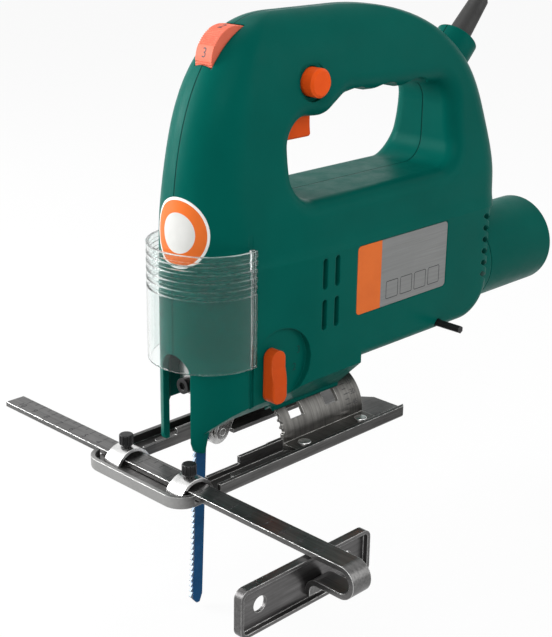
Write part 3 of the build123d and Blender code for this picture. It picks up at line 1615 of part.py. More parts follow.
with BuildPart() as clamp_screws:
    with BuildSketch(Plane.YZ.offset(clamp_front - clamp_head_height)):
        with Locations((0, clamp_screw_z)):
            Circle(clamp_head_radius)
            RegularPolygon(0.55 * clamp_head_radius, 6, mode=Mode.SUBTRACT)
    extrude(amount=0.6 * clamp_head_height)
    with BuildSketch(Plane.YZ.offset(clamp_front - 0.4 * clamp_head_height)):
        with Locations((0, clamp_screw_z)):
            Circle(clamp_head_radius)
    extrude(amount=0.4 * clamp_head_height)
    with BuildSketch(Plane.YZ.offset(clamp_front)):
        with Locations((0, clamp_screw_z)):
            Circle(clamp_screw_radius)
    extrude(amount=tang_x - tang_width / 2 - clamp_front - seat)
    with BuildSketch(Plane.XZ.offset(clamp_half)):
        with Locations((tang_x, side_screw_z)):
            Circle(clamp_head_radius)
    extrude(amount=side_head_height)
    with BuildSketch(Plane.XZ.offset(clamp_half)):
        with Locations((tang_x, side_screw_z)):
            Circle(clamp_screw_radius)
    extrude(amount=-clamp_half + blade_sheet / 2 + seat)
clamp_screws.part.label = "clamp_screws"
export_step(clamp_screws.part, "parts/clamp_screws.step")


def back_at(z):
    # Blade's back edge
    return blade_back - (blade_back_z - z) * sin(radians(blade_lean)) / cos(radians(blade_lean))


shoulder_z = clamp_bottom - blade_shoulder
with BuildPart() as blade:
    with BuildSketch(Plane.XZ.offset(-blade_sheet / 2)):
        with BuildLine():
            edge = [
                (tang_x - tang_width / 2, tang_top),
                (tang_x - tang_width / 2, clamp_bottom - tang_step),
                (back_at(shoulder_z) - blade_width, shoulder_z),
            ]
            for k in range(tooth_count):
                gullet = tooth_start - k * tooth_pitch
                tip = gullet - 0.75 * tooth_pitch
                edge.append((back_at(gullet) - blade_width + tooth_depth, gullet))
                edge.append((back_at(tip) - blade_width, tip))
            edge.append((back_at(blade_tip_z) - 0.45 * blade_width, blade_tip_z))
            edge.append((back_at(blade_tip_z) - 0.2 * blade_width, blade_tip_z))
            edge.append((back_at(blade_tip_z + tip_rise), blade_tip_z + tip_rise))
            edge.append((back_at(shoulder_z), shoulder_z))
            edge.append((tang_x + tang_width / 2, clamp_bottom - tang_step))
            edge.append((tang_x + tang_width / 2, tang_top))
            Polyline(edge, close=True)
        make_face()
    extrude(amount=blade_sheet)
blade.part.label = "blade"
export_step(blade.part, "parts/blade.step")

# Guide roller behind the blade, carried by a rocker
groove_radius = roller_radius - roller_groove
roller_x = back_at(roller_z) + (groove_radius + gap) / cos(radians(blade_lean))
with BuildPart() as roller:
    with BuildSketch(Plane.XZ):
        with Locations((roller_x, roller_z)):
            Circle(roller_radius)
    extrude(amount=roller_width / 2, both=True)
    with BuildSketch(Plane.XZ):
        with Locations((roller_x, roller_z)):
            Circle(roller_radius + lap)
            Circle(groove_radius, mode=Mode.SUBTRACT)
    extrude(amount=blade_sheet / 2 + gap, both=True, mode=Mode.SUBTRACT)
    with BuildSketch(Plane.XZ):
        with Locations((roller_x, roller_z)):
            Circle(roller_pin_radius + run)
    extrude(amount=roller_width, both=True, mode=Mode.SUBTRACT)
roller.part.label = "roller"
export_step(roller.part, "parts/roller.step")

with BuildPart() as rocker:
    with BuildSketch(Plane.XZ):
        with Locations((roller_x, roller_z)):
            Circle(roller_pin_radius + pin_wall)
        with Locations((rocker_pin_x, rocker_pin_z)):
            Circle(pin_radius + rocker_boss)
        make_hull()
    extrude(amount=rocker_half, both=True)
    with BuildSketch(Plane.XZ):
        with Locations((rocker_pin_x, rocker_pin_z)):
            Circle(pin_radius + rocker_boss)
        with Locations((lever_x, rocker_tail_z)):
            Circle(rocker_tail)
        make_hull()
    extrude(amount=rocker_half, both=True)
    with BuildSketch(Plane.XZ):
        with Locations((roller_x, roller_z)):
            Circle(roller_radius + 2 * gap)
    extrude(amount=roller_width / 2 + gap, both=True, mode=Mode.SUBTRACT)
    with BuildSketch(Plane.XZ):
        with Locations((roller_x, roller_z)):
            Circle(roller_pin_radius + seat)
        with Locations((rocker_pin_x, rocker_pin_z)):
            Circle(pin_radius + run)
    extrude(amount=2 * rocker_half, both=True, mode=Mode.SUBTRACT)
rocker.part.label = "rocker"
export_step(rocker.part, "parts/rocker.step")

with BuildPart() as roller_pin:
    with BuildSketch(Plane.XZ):
        with Locations((roller_x, roller_z)):
            Circle(roller_pin_radius)
    extrude(amount=rocker_half, both=True)
roller_pin.part.label = "roller_pin"
export_step(roller_pin.part, "parts/roller_pin.step")

# Cord: sleeve, loose run, coil put away beside the tool, tie and plug
sleeve_tip = gland_plane.offset(sleeve_length).origin
gland_axis = Axis(gland_plane.origin, gland_plane.z_dir)
with BuildPart() as cord_sleeve:
    with BuildSketch(Plane(origin=gland_plane.origin, x_dir=gland_plane.z_dir, z_dir=(0, -1, 0))):
        with BuildLine():
            Polyline(
                (-gland_depth, 0),
                (-gland_depth, sleeve_radius),
                (0, sleeve_radius),
                (sleeve_length, sleeve_end_radius),
                (sleeve_length, 0),
                close=True,
            )
        make_face()
    revolve(axis=gland_axis)
    fillet(cord_sleeve.edges().sort_by(gland_axis)[-1], sleeve_round)
cord_sleeve.part.label = "cord_sleeve"
export_step(cord_sleeve.part, "parts/cord_sleeve.step")

coil_z = floor_z + coil_lift + cord_radius
fall_x = coil_x + coil_outer
route = [tuple(sleeve_tip)]
for x, y, z in cord_rise:
    route.append((gland_x + x, y, gland_z + z))
for x, y, z in cord_fall:
    route.append((fall_x + x, y, z))
route.append((fall_x, cord_floor_y, coil_z))
route.append((fall_x, coil_y + gap, coil_z))
bends = []
for before, corner, after in zip(route, route[1:], route[2:]):
    run_in = Vector(*corner) - Vector(*before)
    run_out = Vector(*after) - Vector(*corner)
    half_turn = radians(run_in.get_angle(run_out) / 2)
    shorter = min(run_in.length, run_out.length)
    bends.append(min(bend_most, bend_share * shorter * cos(half_turn) / sin(half_turn)))
print("cord bends", [round(b) for b in bends], "least allowed", 10 * cord_radius)

with BuildPart() as cord:
    with BuildLine() as cord_line:
        FilletPolyline(*route, radius=tuple(bends))
    with BuildSketch(Plane(origin=sleeve_tip, z_dir=gland_plane.z_dir)):
        Circle(cord_radius)
    sweep()
cord.part.label = "cord"
export_step(cord.part, "parts/cord.step")


def coil_point(turn):
    # Middle of the cord after a number of turns: inward in the lower layer, outward in the upper
    middle = coil_turns / 2
    away = sqrt((turn - middle) ** 2 + coil_ease)
    radius = coil_outer - coil_step * (sqrt(middle**2 + coil_ease) - away)
    share = min(1, max(0, (turn - middle) / climb_turns + 0.5))
    rise = share * share * (3 - 2 * share)
    angle = -2 * pi * turn
    return Vector(
        coil_x + radius * cos(angle), coil_y + radius * sin(angle), coil_z + coil_step * rise
    )


def coil_heading(turn):
    if turn == 0:
        return Vector(0, -1, 0)
    if turn == coil_turns:
        return Vector(-1, 0, 0)
    return (coil_point(turn + 0.001) - coil_point(turn - 0.001)).normalized()


quarters = [k / 4 for k in range(round(4 * coil_turns) + 1)]
with BuildPart() as cord_coil:
    with BuildLine() as coil_line:
        for start, end in zip(quarters, quarters[1:]):
            p0 = coil_point(start)
            p1 = coil_point(end)
            t0 = coil_heading(start)
            t1 = coil_heading(end)
            # Two arcs that meet halfway with a shared tangent
            across = p1 - p0
            a = 2 * (1 - t0.dot(t1))
            b = across.dot(t0 + t1)
            reach = (-b + sqrt(b * b + a * across.dot(across))) / a
            joint = (p0 + t0 * reach + p1 - t1 * reach) * 0.5
            shared = (p1 - t1 * reach - p0 - t0 * reach).normalized()
            TangentArc(p0, joint, tangent=t0)
            TangentArc(joint, p1, tangent=shared)
        Line(coil_point(coil_turns), coil_point(coil_turns) + Vector(-plug_run, 0, 0))
    with BuildSketch(Plane(origin=coil_point(0), z_dir=(0, -1, 0))):
        Circle(cord_radius)
    sweep()
cord_coil.part.label = "cord_coil"
export_step(cord_coil.part, "parts/cord_coil.step")
coil_length = coil_line.wires()[0].length
cord_length = cord_line.wires()[0].length
spots = [coil_line.wires()[0].position_at(k / 900) for k in range(901)]
least = min(
    (spots[i] - spots[j]).length
    for i in range(0, 901)
    for j in range(i + round(900 * 6 * cord_radius / coil_length), 901)
)
print("coil gap", round(least - 2 * cord_radius, 2), "cord length", round(coil_length + cord_length))

with BuildPart() as cord_tie:
    tie_room = cord_radius + tie_slack
    tie_inner = coil_outer - coil_step * coil_turns / 2 - tie_room
    tie_outer = coil_outer + tie_room
    tie_height = coil_step + 2 * tie_room
    tie_mid = (tie_inner + tie_outer) / 2
    turn = radians(tie_turn)
    with BuildSketch(
        Plane(
            origin=(coil_x + tie_mid * cos(turn), coil_y + tie_mid * sin(turn), coil_z + coil_step / 2),
            x_dir=(cos(turn), sin(turn), 0),
            z_dir=(-sin(turn), cos(turn), 0),
        )
    ):
        RectangleRounded(tie_outer - tie_inner + 2 * tie_sheet, tie_height + 2 * tie_sheet, tie_round)
        RectangleRounded(tie_outer - tie_inner, tie_height, tie_round - tie_sheet, mode=Mode.SUBTRACT)
    extrude(amount=tie_width / 2, both=True)
cord_tie.part.label = "cord_tie"
export_step(cord_tie.part, "parts/cord_tie.step")

plug_plane = Plane(
    origin=coil_point(coil_turns) + Vector(-plug_run, 0, 0), x_dir=(0, 1, 0), z_dir=(-1, 0, 0)
)
with BuildPart() as plug:
    with BuildSketch(plug_plane):
        Circle(cord_radius + plug_neck)
    with BuildSketch(plug_plane.offset(0.55 * plug_length)):
        Ellipse(0.42 * plug_width, 0.42 * plug_height)
    with BuildSketch(plug_plane.offset(plug_length)):
        Ellipse(plug_width / 2, plug_height / 2)
    loft()
    with BuildSketch(plug_plane.offset(plug_length)):
        with GridLocations(plug_pin_spacing, 0, 2, 1):
            Circle(plug_pin_radius + seat)
    extrude(amount=-0.3 * plug_length, mode=Mode.SUBTRACT)
plug.part.label = "plug"
export_step(plug.part, "parts/plug.step")

with BuildPart() as plug_pins:
    with BuildSketch(plug_plane.offset(plug_length)):
        with GridLocations(plug_pin_spacing, 0, 2, 1):
            Circle(plug_pin_radius)
    extrude(amount=-0.3 * plug_length + seat)
    with BuildSketch(plug_plane.offset(plug_length)):
        with GridLocations(plug_pin_spacing, 0, 2, 1):
            Circle(plug_pin_radius)
    extrude(amount=plug_pin_length)
    chamfer(plug_pins.edges().group_by(Axis.X)[0], pin_edge)
plug_pins.part.label = "plug_pins"
export_step(plug_pins.part, "parts/plug_pins.step")
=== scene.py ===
import math

import bmesh
import bpy
from mathutils import Matrix, Vector
from mathutils.bvhtree import BVHTree


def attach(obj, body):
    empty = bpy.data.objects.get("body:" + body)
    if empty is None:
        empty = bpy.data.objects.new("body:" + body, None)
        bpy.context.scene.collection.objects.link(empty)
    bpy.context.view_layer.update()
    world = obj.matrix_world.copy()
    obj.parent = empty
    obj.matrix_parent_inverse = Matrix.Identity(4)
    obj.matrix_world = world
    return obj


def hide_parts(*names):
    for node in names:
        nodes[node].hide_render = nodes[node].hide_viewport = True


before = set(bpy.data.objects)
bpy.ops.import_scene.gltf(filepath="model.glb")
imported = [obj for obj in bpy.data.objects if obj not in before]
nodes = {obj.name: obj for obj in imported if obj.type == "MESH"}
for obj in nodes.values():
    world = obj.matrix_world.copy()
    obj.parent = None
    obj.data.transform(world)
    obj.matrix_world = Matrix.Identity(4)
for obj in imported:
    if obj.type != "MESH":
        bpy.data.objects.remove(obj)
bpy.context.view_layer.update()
mm = 0.001
print("frame loaded with", len(nodes), "nodes")


# Camera, at the photograph's place

view = {
    "place": (-0.35223, -0.41573, 0.27101),
    "turn": -45.77,
    "rise": 19.70,
    "roll": 0.854,
    "lens": 75.73,
    "sensor": 36,
    "clip": (0.01, 60),
}


def placeCamera():
    turn = math.radians(view["turn"])
    rise = math.radians(view["rise"])
    roll = math.radians(view["roll"])
    away = Vector((math.sin(turn), -math.cos(turn), 0))
    back = away * math.cos(rise) + Vector((0, 0, math.sin(rise)))
    level = Vector((math.cos(turn), math.sin(turn), 0))
    above = back.cross(level)
    right = math.cos(roll) * level + math.sin(roll) * above
    up = math.cos(roll) * above - math.sin(roll) * level
    lensData = bpy.data.cameras.new("photoCamera")
    lensData.lens = view["lens"]
    lensData.sensor_width = view["sensor"]
    lensData.clip_start, lensData.clip_end = view["clip"]
    camera = bpy.data.objects.new("photoCamera", lensData)
    matrix = Matrix((right, up, back)).transposed().to_4x4()
    matrix.translation = Vector(view["place"])
    camera.matrix_world = matrix
    bpy.context.scene.collection.objects.link(camera)
    bpy.context.scene.camera = camera


placeCamera()
bpy.context.scene.view_settings.view_transform = "Standard"


# Small helpers for node trees

def feed(tree, value, socket):
    # a number or a colour is set on the socket, anything else is linked to it
    if isinstance(value, (int, float)):
        socket.default_value = value
    elif isinstance(value, tuple):
        socket.default_value = (*value, 1)
    else:
        tree.links.new(value, socket)


def calc(tree, operation, first, second=None):
    node = tree.nodes.new("ShaderNodeMath")
    node.operation = operation
    feed(tree, first, node.inputs[0])
    if second is not None:
        feed(tree, second, node.inputs[1])
    return node.outputs[0]


def spread(tree, value, fromLow, fromHigh, toLow, toHigh):
    node = tree.nodes.new("ShaderNodeMapRange")
    tree.links.new(value, node.inputs["Value"])
    node.inputs["From Min"].default_value = fromLow
    node.inputs["From Max"].default_value = fromHigh
    node.inputs["To Min"].default_value = toLow
    node.inputs["To Max"].default_value = toHigh
    return node.outputs["Result"]


def blendColour(tree, mask, first, second):
    node = tree.nodes.new("ShaderNodeMix")
    node.data_type = "RGBA"
    tree.links.new(mask, node.inputs[0])
    feed(tree, first, node.inputs[6])  # colour A
    feed(tree, second, node.inputs[7])  # colour B
    return node.outputs[2]


def startGroup(name, inputs, outputs):
    tree = bpy.data.node_groups.new(name, "ShaderNodeTree")
    for label, value in inputs:
        kind = "NodeSocketVector" if isinstance(value, tuple) else "NodeSocketFloat"
        socket = tree.interface.new_socket(label, in_out="INPUT", socket_type=kind)
        socket.default_value = value
    for label, kind in outputs:
        tree.interface.new_socket(label, in_out="OUTPUT", socket_type=kind)
    entry = tree.nodes.new("NodeGroupInput")
    leave = tree.nodes.new("NodeGroupOutput")
    return tree, entry, leave


def useGroup(tree, group, **values):
    node = tree.nodes.new("ShaderNodeGroup")
    node.node_tree = group
    for label, value in values.items():
        node.inputs[label].default_value = value
    return node


def noiseAt(tree, vector, scale, detail, rough=0.55):
    node = tree.nodes.new("ShaderNodeTexNoise")
    tree.links.new(vector, node.inputs["Vector"])
    feed(tree, scale, node.inputs["Scale"])
    node.inputs["Detail"].default_value = detail
    node.inputs["Roughness"].default_value = rough
    return node.outputs["Fac"]


def objectPlace(tree):
    return tree.nodes.new("ShaderNodeTexCoord").outputs["Object"]


def objectAxes(tree):
    parts = tree.nodes.new("ShaderNodeSeparateXYZ")
    tree.links.new(objectPlace(tree), parts.inputs[0])
    return parts.outputs


def seenRays(tree):
    # 1 for the rays that should meet a white background, 0 for those that carry light
    rays = tree.nodes.new("ShaderNodeLightPath").outputs
    seen = calc(tree, "MAXIMUM", rays["Is Camera Ray"], rays["Is Glossy Ray"])
    return calc(tree, "MAXIMUM", seen, rays["Is Transmission Ray"])


# Shared surface effects

grainLook = {
    "fineDetail": 3,
    "broadDetail": 4,
    "handled": (85, 6, 0.68),  # scale, detail and roughness of the handling marks
    "toneEnds": (0.32, 0.68),
    "smudgeEnds": (0.36, 0.66),
}


def makeMouldGrain():
    # spark-eroded mould texture: fine height, broad tone and handling marks
    tree, entry, leave = startGroup(
        "mouldGrain",
        [("Grain", 1500.0), ("Mottle", 30.0)],
        [(label, "NodeSocketFloat") for label in ("Height", "Tone", "Smudge")],
    )
    place = objectPlace(tree)
    fine = noiseAt(tree, place, entry.outputs["Grain"], grainLook["fineDetail"])
    broad = noiseAt(tree, place, entry.outputs["Mottle"], grainLook["broadDetail"])
    handled = noiseAt(tree, place, *grainLook["handled"])
    tree.links.new(fine, leave.inputs["Height"])
    tree.links.new(spread(tree, broad, *grainLook["toneEnds"], 0, 1), leave.inputs["Tone"])
    tree.links.new(spread(tree, handled, *grainLook["smudgeEnds"], 0, 1), leave.inputs["Smudge"])
    return tree


rubLook = {
    "samples": 6,
    "patches": (260, 5, 0.7),  # scale, detail and roughness of the broken rub
    "patchEnds": (0.38, 0.62),
    "least": 0.15,  # share of the rub that stays between the patches
}


def makeEdgeRub():
    # softened edges: a rounded normal, and a mask where corners are rubbed
    tree, entry, leave = startGroup(
        "edgeRub",
        [("Radius", 0.0007), ("Reach", 5.0)],
        [("Mask", "NodeSocketFloat"), ("Normal", "NodeSocketVector")],
    )
    bevel = tree.nodes.new("ShaderNodeBevel")
    bevel.samples = rubLook["samples"]
    tree.links.new(entry.outputs["Radius"], bevel.inputs["Radius"])
    facing = tree.nodes.new("ShaderNodeNewGeometry").outputs["Normal"]
    along = tree.nodes.new("ShaderNodeVectorMath")
    along.operation = "DOT_PRODUCT"
    tree.links.new(bevel.outputs["Normal"], along.inputs[0])
    tree.links.new(facing, along.inputs[1])
    away = calc(tree, "SUBTRACT", 1.0, along.outputs["Value"])
    patches = noiseAt(tree, objectPlace(tree), *rubLook["patches"])
    patchy = spread(tree, patches, *rubLook["patchEnds"], rubLook["least"], 1)
    strong = calc(tree, "MULTIPLY", away, entry.outputs["Reach"])
    mask = calc(tree, "MULTIPLY", strong, patchy)
    tree.links.new(calc(tree, "MINIMUM", mask, 1.0), leave.inputs["Mask"])
    tree.links.new(bevel.outputs["Normal"], leave.inputs["Normal"])
    return tree


rollLook = {
    "lines": (1.0, 4, 0.6),  # scale, detail and roughness
    "patches": (6, 0.65),
    "pits": (1900, 2),
    "pitDepth": 0.5,
    "lineEnds": (0.3, 0.7),
    "stainEnds": (0.35, 0.65),
}


def makeRolledSteel():
    # rolling and brushing lines along one axis, with small pits and stains
    tree, entry, leave = startGroup(
        "rolledSteel",
        [("Stretch", (900.0, 40.0, 900.0)), ("Stain", 55.0)],
        [(label, "NodeSocketFloat") for label in ("Streak", "Stain", "Height")],
    )
    place = objectPlace(tree)
    drawn = tree.nodes.new("ShaderNodeVectorMath")
    drawn.operation = "MULTIPLY"
    tree.links.new(place, drawn.inputs[0])
    tree.links.new(entry.outputs["Stretch"], drawn.inputs[1])
    lines = noiseAt(tree, drawn.outputs["Vector"], *rollLook["lines"])
    patches = noiseAt(tree, place, entry.outputs["Stain"], *rollLook["patches"])
    pits = calc(tree, "MULTIPLY", noiseAt(tree, place, *rollLook["pits"]), rollLook["pitDepth"])
    tree.links.new(spread(tree, lines, *rollLook["lineEnds"], 0, 1), leave.inputs["Streak"])
    tree.links.new(spread(tree, patches, *rollLook["stainEnds"], 0, 1), leave.inputs["Stain"])
    tree.links.new(calc(tree, "ADD", lines, pits), leave.inputs["Height"])
    return tree


seamLook = {
    "halfWidth": 0.00028,
    "fadeEnd": 1.6,  # half widths from the median plane to where the line has faded
    "depth": 2.5,  # in heights of the mould grain
}


def makePartingLine():
    # fine dark line where the two housing halves meet on the median plane
    tree, entry, leave = startGroup(
        "partingLine",
        [("Half Width", seamLook["halfWidth"])],
        [("Mask", "NodeSocketFloat")],
    )
    off = calc(tree, "ABSOLUTE", objectAxes(tree)["Y"])
    share = calc(tree, "DIVIDE", off, entry.outputs["Half Width"])
    falling = calc(tree, "SUBTRACT", seamLook["fadeEnd"], share)
    mask = calc(tree, "MINIMUM", calc(tree, "MAXIMUM", falling, 0.0), 1.0)
    tree.links.new(mask, leave.inputs["Mask"])
    return tree


mouldGrain = makeMouldGrain()
edgeRub = makeEdgeRub()
rolledSteel = makeRolledSteel()
partingLine = makePartingLine()
print("surface groups ready")


# Finishes

bumpDepth = {
    "grain": 0.0002,
    "rolled": 0.00008,
    "paint": 0.0001,
}


def startFinish(name):
    material = bpy.data.materials.new(name)
    material.use_nodes = True
    tree = material.node_tree
    return material, tree, tree.nodes["Principled BSDF"]


def raiseBump(tree, shader, height, strength, depth, under):
    bump = tree.nodes.new("ShaderNodeBump")
    bump.inputs["Strength"].default_value = strength
    bump.inputs["Distance"].default_value = depth
    tree.links.new(height, bump.inputs["Height"])
    tree.links.new(under, bump.inputs["Normal"])
    tree.links.new(bump.outputs["Normal"], shader.inputs["Normal"])


def mouldedPlastic(name, finish):
    material, tree, shader = startFinish(name)
    grain = useGroup(tree, mouldGrain, Grain=finish["grain"], Mottle=finish["mottle"])
    rub = useGroup(tree, edgeRub, Radius=finish["round"], Reach=finish["rub"])
    body = blendColour(tree, grain.outputs["Tone"], finish["colour"], finish["shade"])
    worn = blendColour(tree, rub.outputs["Mask"], body, finish["rubbed"])
    height = grain.outputs["Height"]
    if finish.get("seam"):
        line = useGroup(tree, partingLine).outputs["Mask"]
        worn = blendColour(tree, line, worn, finish["seam"])
        height = calc(tree, "SUBTRACT", height, calc(tree, "MULTIPLY", line, seamLook["depth"]))
    tree.links.new(worn, shader.inputs["Base Color"])
    rough = spread(tree, grain.outputs["Smudge"], 0, 1, *finish["rough"])
    tree.links.new(rough, shader.inputs["Roughness"])
    shader.inputs["Specular IOR Level"].default_value = finish["gloss"]
    shader.inputs["Specular Tint"].default_value = (*finish.get("tint", (1, 1, 1)), 1)
    raiseBump(tree, shader, height, finish["bump"], bumpDepth["grain"], rub.outputs["Normal"])
    return material


def plainSteel(name, finish):
    material, tree, shader = startFinish(name)
    rolled = useGroup(tree, rolledSteel, Stretch=finish["stretch"], Stain=finish["stain"])
    rub = useGroup(tree, edgeRub, Radius=finish["round"], Reach=finish["rub"])
    streaky = blendColour(tree, rolled.outputs["Streak"], finish["dark"], finish["light"])
    stains = calc(tree, "MULTIPLY", rolled.outputs["Stain"], finish["stains"])
    stained = blendColour(tree, stains, streaky, finish["dark"])
    worn = rub.outputs["Mask"]
    # where a finish gives worn, a painted highlight is added: the colour ramps towards the edge
    # colour along x on the front wall, standing in for the light falling there. From here worn holds
    # the rubbed edges and this painted highlight
    if finish.get("worn"):
        start, end, share = finish["worn"]
        paintedFrontHighlight = spread(tree, objectAxes(tree)["X"], start, end, 0, share)
        worn = calc(tree, "MAXIMUM", worn, paintedFrontHighlight)
    tree.links.new(blendColour(tree, worn, stained, finish["edge"]), shader.inputs["Base Color"])
    shader.inputs["Metallic"].default_value = finish["metal"]
    rough = spread(tree, rolled.outputs["Stain"], 0, 1, *finish["rough"])
    tree.links.new(rough, shader.inputs["Roughness"])
    height = rolled.outputs["Height"]
    raiseBump(tree, shader, height, finish["bump"], bumpDepth["rolled"], rub.outputs["Normal"])
    return material


housingGreen = mouldedPlastic("housingGreen", {
    "colour": (0.0006, 0.089, 0.070),
    "shade": (0.0004, 0.077, 0.061),
    "rubbed": (0.008, 0.150, 0.122),
    "seam": (0.0002, 0.030, 0.024),
    "grain": 1300.0,
    "mottle": 26.0,
    "round": 0.0009,
    "rub": 2.2,
    "rough": (0.30, 0.44),
    "gloss": 0.035,
    "tint": (0.4, 1.0, 0.9),
    "bump": 0.16,
})
spoutGreen = mouldedPlastic("spoutGreen", {
    "colour": (0.0006, 0.083, 0.065),
    "shade": (0.0004, 0.072, 0.057),
    "rubbed": (0.010, 0.125, 0.105),
    "grain": 1300.0,
    "mottle": 26.0,
    "round": 0.0009,
    "rub": 2.2,
    "rough": (0.34, 0.48),
    "gloss": 0.035,
    "tint": (0.4, 1.0, 0.9),
    "bump": 0.16,
})
controlOrange = mouldedPlastic("controlOrange", {
    "colour": (0.76, 0.088, 0.010),
    "shade": (0.68, 0.074, 0.008),
    "rubbed": (0.88, 0.180, 0.050),
    "grain": 1500.0,
    "mottle": 60.0,
    "round": 0.0006,
    "rub": 2.5,
    "rough": (0.32, 0.46),
    "gloss": 0.10,
    "tint": (1.0, 0.6, 0.4),
    "bump": 0.14,
})
leverOrange = mouldedPlastic("leverOrange", {
    "colour": (0.56, 0.070, 0.009),
    "shade": (0.48, 0.058, 0.007),
    "rubbed": (0.74, 0.150, 0.045),
    "grain": 1500.0,
    "mottle": 60.0,
    "round": 0.0008,
    "rub": 2.5,
    "rough": (0.34, 0.48),
    "gloss": 0.10,
    "tint": (1.0, 0.6, 0.4),
    "bump": 0.14,
})
dialOrange = mouldedPlastic("dialOrange", {
    "colour": (0.68, 0.142, 0.082),
    "shade": (0.63, 0.124, 0.070),
    "rubbed": (0.82, 0.270, 0.165),
    "grain": 1700.0,
    "mottle": 90.0,
    "round": 0.0004,
    "rub": 3.0,
    "rough": (0.44, 0.58),
    "gloss": 0.14,
    "bump": 0.12,
})
blackMoulding = mouldedPlastic("blackMoulding", {
    "colour": (0.014, 0.014, 0.015),
    "shade": (0.020, 0.020, 0.021),
    "rubbed": (0.060, 0.060, 0.060),
    "grain": 1500.0,
    "mottle": 50.0,
    "round": 0.0005,
    "rub": 2.0,
    "rough": (0.38, 0.55),
    "gloss": 0.35,
    "bump": 0.16,
})
cordRubber = mouldedPlastic("cordRubber", {
    "colour": (0.012, 0.012, 0.012),
    "shade": (0.019, 0.019, 0.018),
    "rubbed": (0.045, 0.045, 0.043),
    "grain": 1000.0,
    "mottle": 70.0,
    "round": 0.0005,
    "rub": 1.5,
    "rough": (0.46, 0.62),
    "gloss": 0.32,
    "bump": 0.22,
})
carbonBlock = mouldedPlastic("carbonBlock", {
    "colour": (0.020, 0.020, 0.021),
    "shade": (0.034, 0.034, 0.035),
    "rubbed": (0.070, 0.070, 0.070),
    "grain": 2200.0,
    "mottle": 200.0,
    "round": 0.0003,
    "rub": 2.5,
    "rough": (0.55, 0.75),
    "gloss": 0.35,
    "bump": 0.30,
})

soleSteel = plainSteel("soleSteel", {
    "dark": (0.056, 0.055, 0.054),
    "light": (0.126, 0.124, 0.122),
    "edge": (0.56, 0.56, 0.55),
    "worn": (-0.008, -0.0158, 0.45),  # painted highlight: the front wall is painted brighter where the light falls on it: from x, to x, share
    "stretch": (40.0, 900.0, 900.0),
    "stain": 45.0,
    "stains": 0.55,
    "metal": 0.88,
    "rough": (0.30, 0.46),
    "round": 0.0006,
    "rub": 4.0,
    "bump": 0.20,
})
saddleSteel = plainSteel("saddleSteel", {
    "dark": (0.066, 0.064, 0.060),
    "light": (0.150, 0.146, 0.138),
    "edge": (0.64, 0.63, 0.60),
    "stretch": (900.0, 45.0, 45.0),
    "stain": 60.0,
    "stains": 0.45,
    "metal": 0.90,
    "rough": (0.28, 0.42),
    "round": 0.0005,
    "rub": 4.0,
    "bump": 0.24,
})
barSteel = plainSteel("barSteel", {
    "dark": (0.090, 0.089, 0.088),
    "light": (0.180, 0.178, 0.176),
    "edge": (0.82, 0.82, 0.81),
    "stretch": (900.0, 40.0, 900.0),
    "stain": 40.0,
    "stains": 0.40,
    "metal": 0.95,
    "rough": (0.27, 0.40),
    "round": 0.0005,
    "rub": 5.0,
    "bump": 0.14,
})
fenceSteel = plainSteel("fenceSteel", {
    "dark": (0.072, 0.070, 0.070),
    "light": (0.150, 0.147, 0.147),
    "edge": (0.58, 0.58, 0.57),
    "stretch": (40.0, 900.0, 900.0),
    "stain": 40.0,
    "stains": 0.40,
    "metal": 0.90,
    "rough": (0.24, 0.38),
    "round": 0.0006,
    "rub": 4.0,
    "bump": 0.16,
})
brightSteel = plainSteel("brightSteel", {
    "dark": (0.420, 0.418, 0.412),
    "light": (0.640, 0.638, 0.630),
    "edge": (0.84, 0.84, 0.83),
    "stretch": (500.0, 500.0, 90.0),
    "stain": 90.0,
    "stains": 0.35,
    "metal": 1.0,
    "rough": (0.16, 0.30),
    "round": 0.0004,
    "rub": 3.0,
    "bump": 0.12,
})
zincSteel = plainSteel("zincSteel", {
    "dark": (0.600, 0.598, 0.592),
    "light": (0.820, 0.818, 0.812),
    "edge": (0.94, 0.94, 0.93),
    "stretch": (300.0, 300.0, 300.0),
    "stain": 110.0,
    "stains": 0.35,
    "metal": 1.0,
    "rough": (0.20, 0.36),
    "round": 0.0004,
    "rub": 3.0,
    "bump": 0.14,
})
blackSteel = plainSteel("blackSteel", {
    "dark": (0.012, 0.012, 0.013),
    "light": (0.028, 0.028, 0.029),
    "edge": (0.13, 0.13, 0.13),
    "stretch": (700.0, 700.0, 300.0),
    "stain": 120.0,
    "stains": 0.5,
    "metal": 0.60,
    "rough": (0.30, 0.46),
    "round": 0.0004,
    "rub": 2.4,
    "bump": 0.20,
})
laminatedSteel = plainSteel("laminatedSteel", {
    "dark": (0.150, 0.150, 0.155),
    "light": (0.340, 0.340, 0.345),
    "edge": (0.50, 0.50, 0.50),
    "stretch": (2000.0, 30.0, 30.0),  # the stacked sheets stand across the shaft
    "stain": 70.0,
    "stains": 0.4,
    "metal": 0.9,
    "rough": (0.34, 0.52),
    "round": 0.0003,
    "rub": 3.0,
    "bump": 0.55,
})
woundCopper = plainSteel("woundCopper", {
    "dark": (0.380, 0.130, 0.045),
    "light": (0.720, 0.330, 0.150),
    "edge": (0.86, 0.48, 0.26),
    "stretch": (60.0, 1400.0, 1400.0),
    "stain": 90.0,
    "stains": 0.4,
    "metal": 1.0,
    "rough": (0.26, 0.42),
    "round": 0.0003,
    "rub": 2.5,
    "bump": 0.70,
})
sinteredBronze = plainSteel("sinteredBronze", {
    "dark": (0.330, 0.200, 0.090),
    "light": (0.560, 0.380, 0.190),
    "edge": (0.74, 0.55, 0.32),
    "stretch": (600.0, 600.0, 600.0),
    "stain": 200.0,
    "stains": 0.4,
    "metal": 0.95,
    "rough": (0.34, 0.50),
    "round": 0.0003,
    "rub": 2.5,
    "bump": 0.35,
})


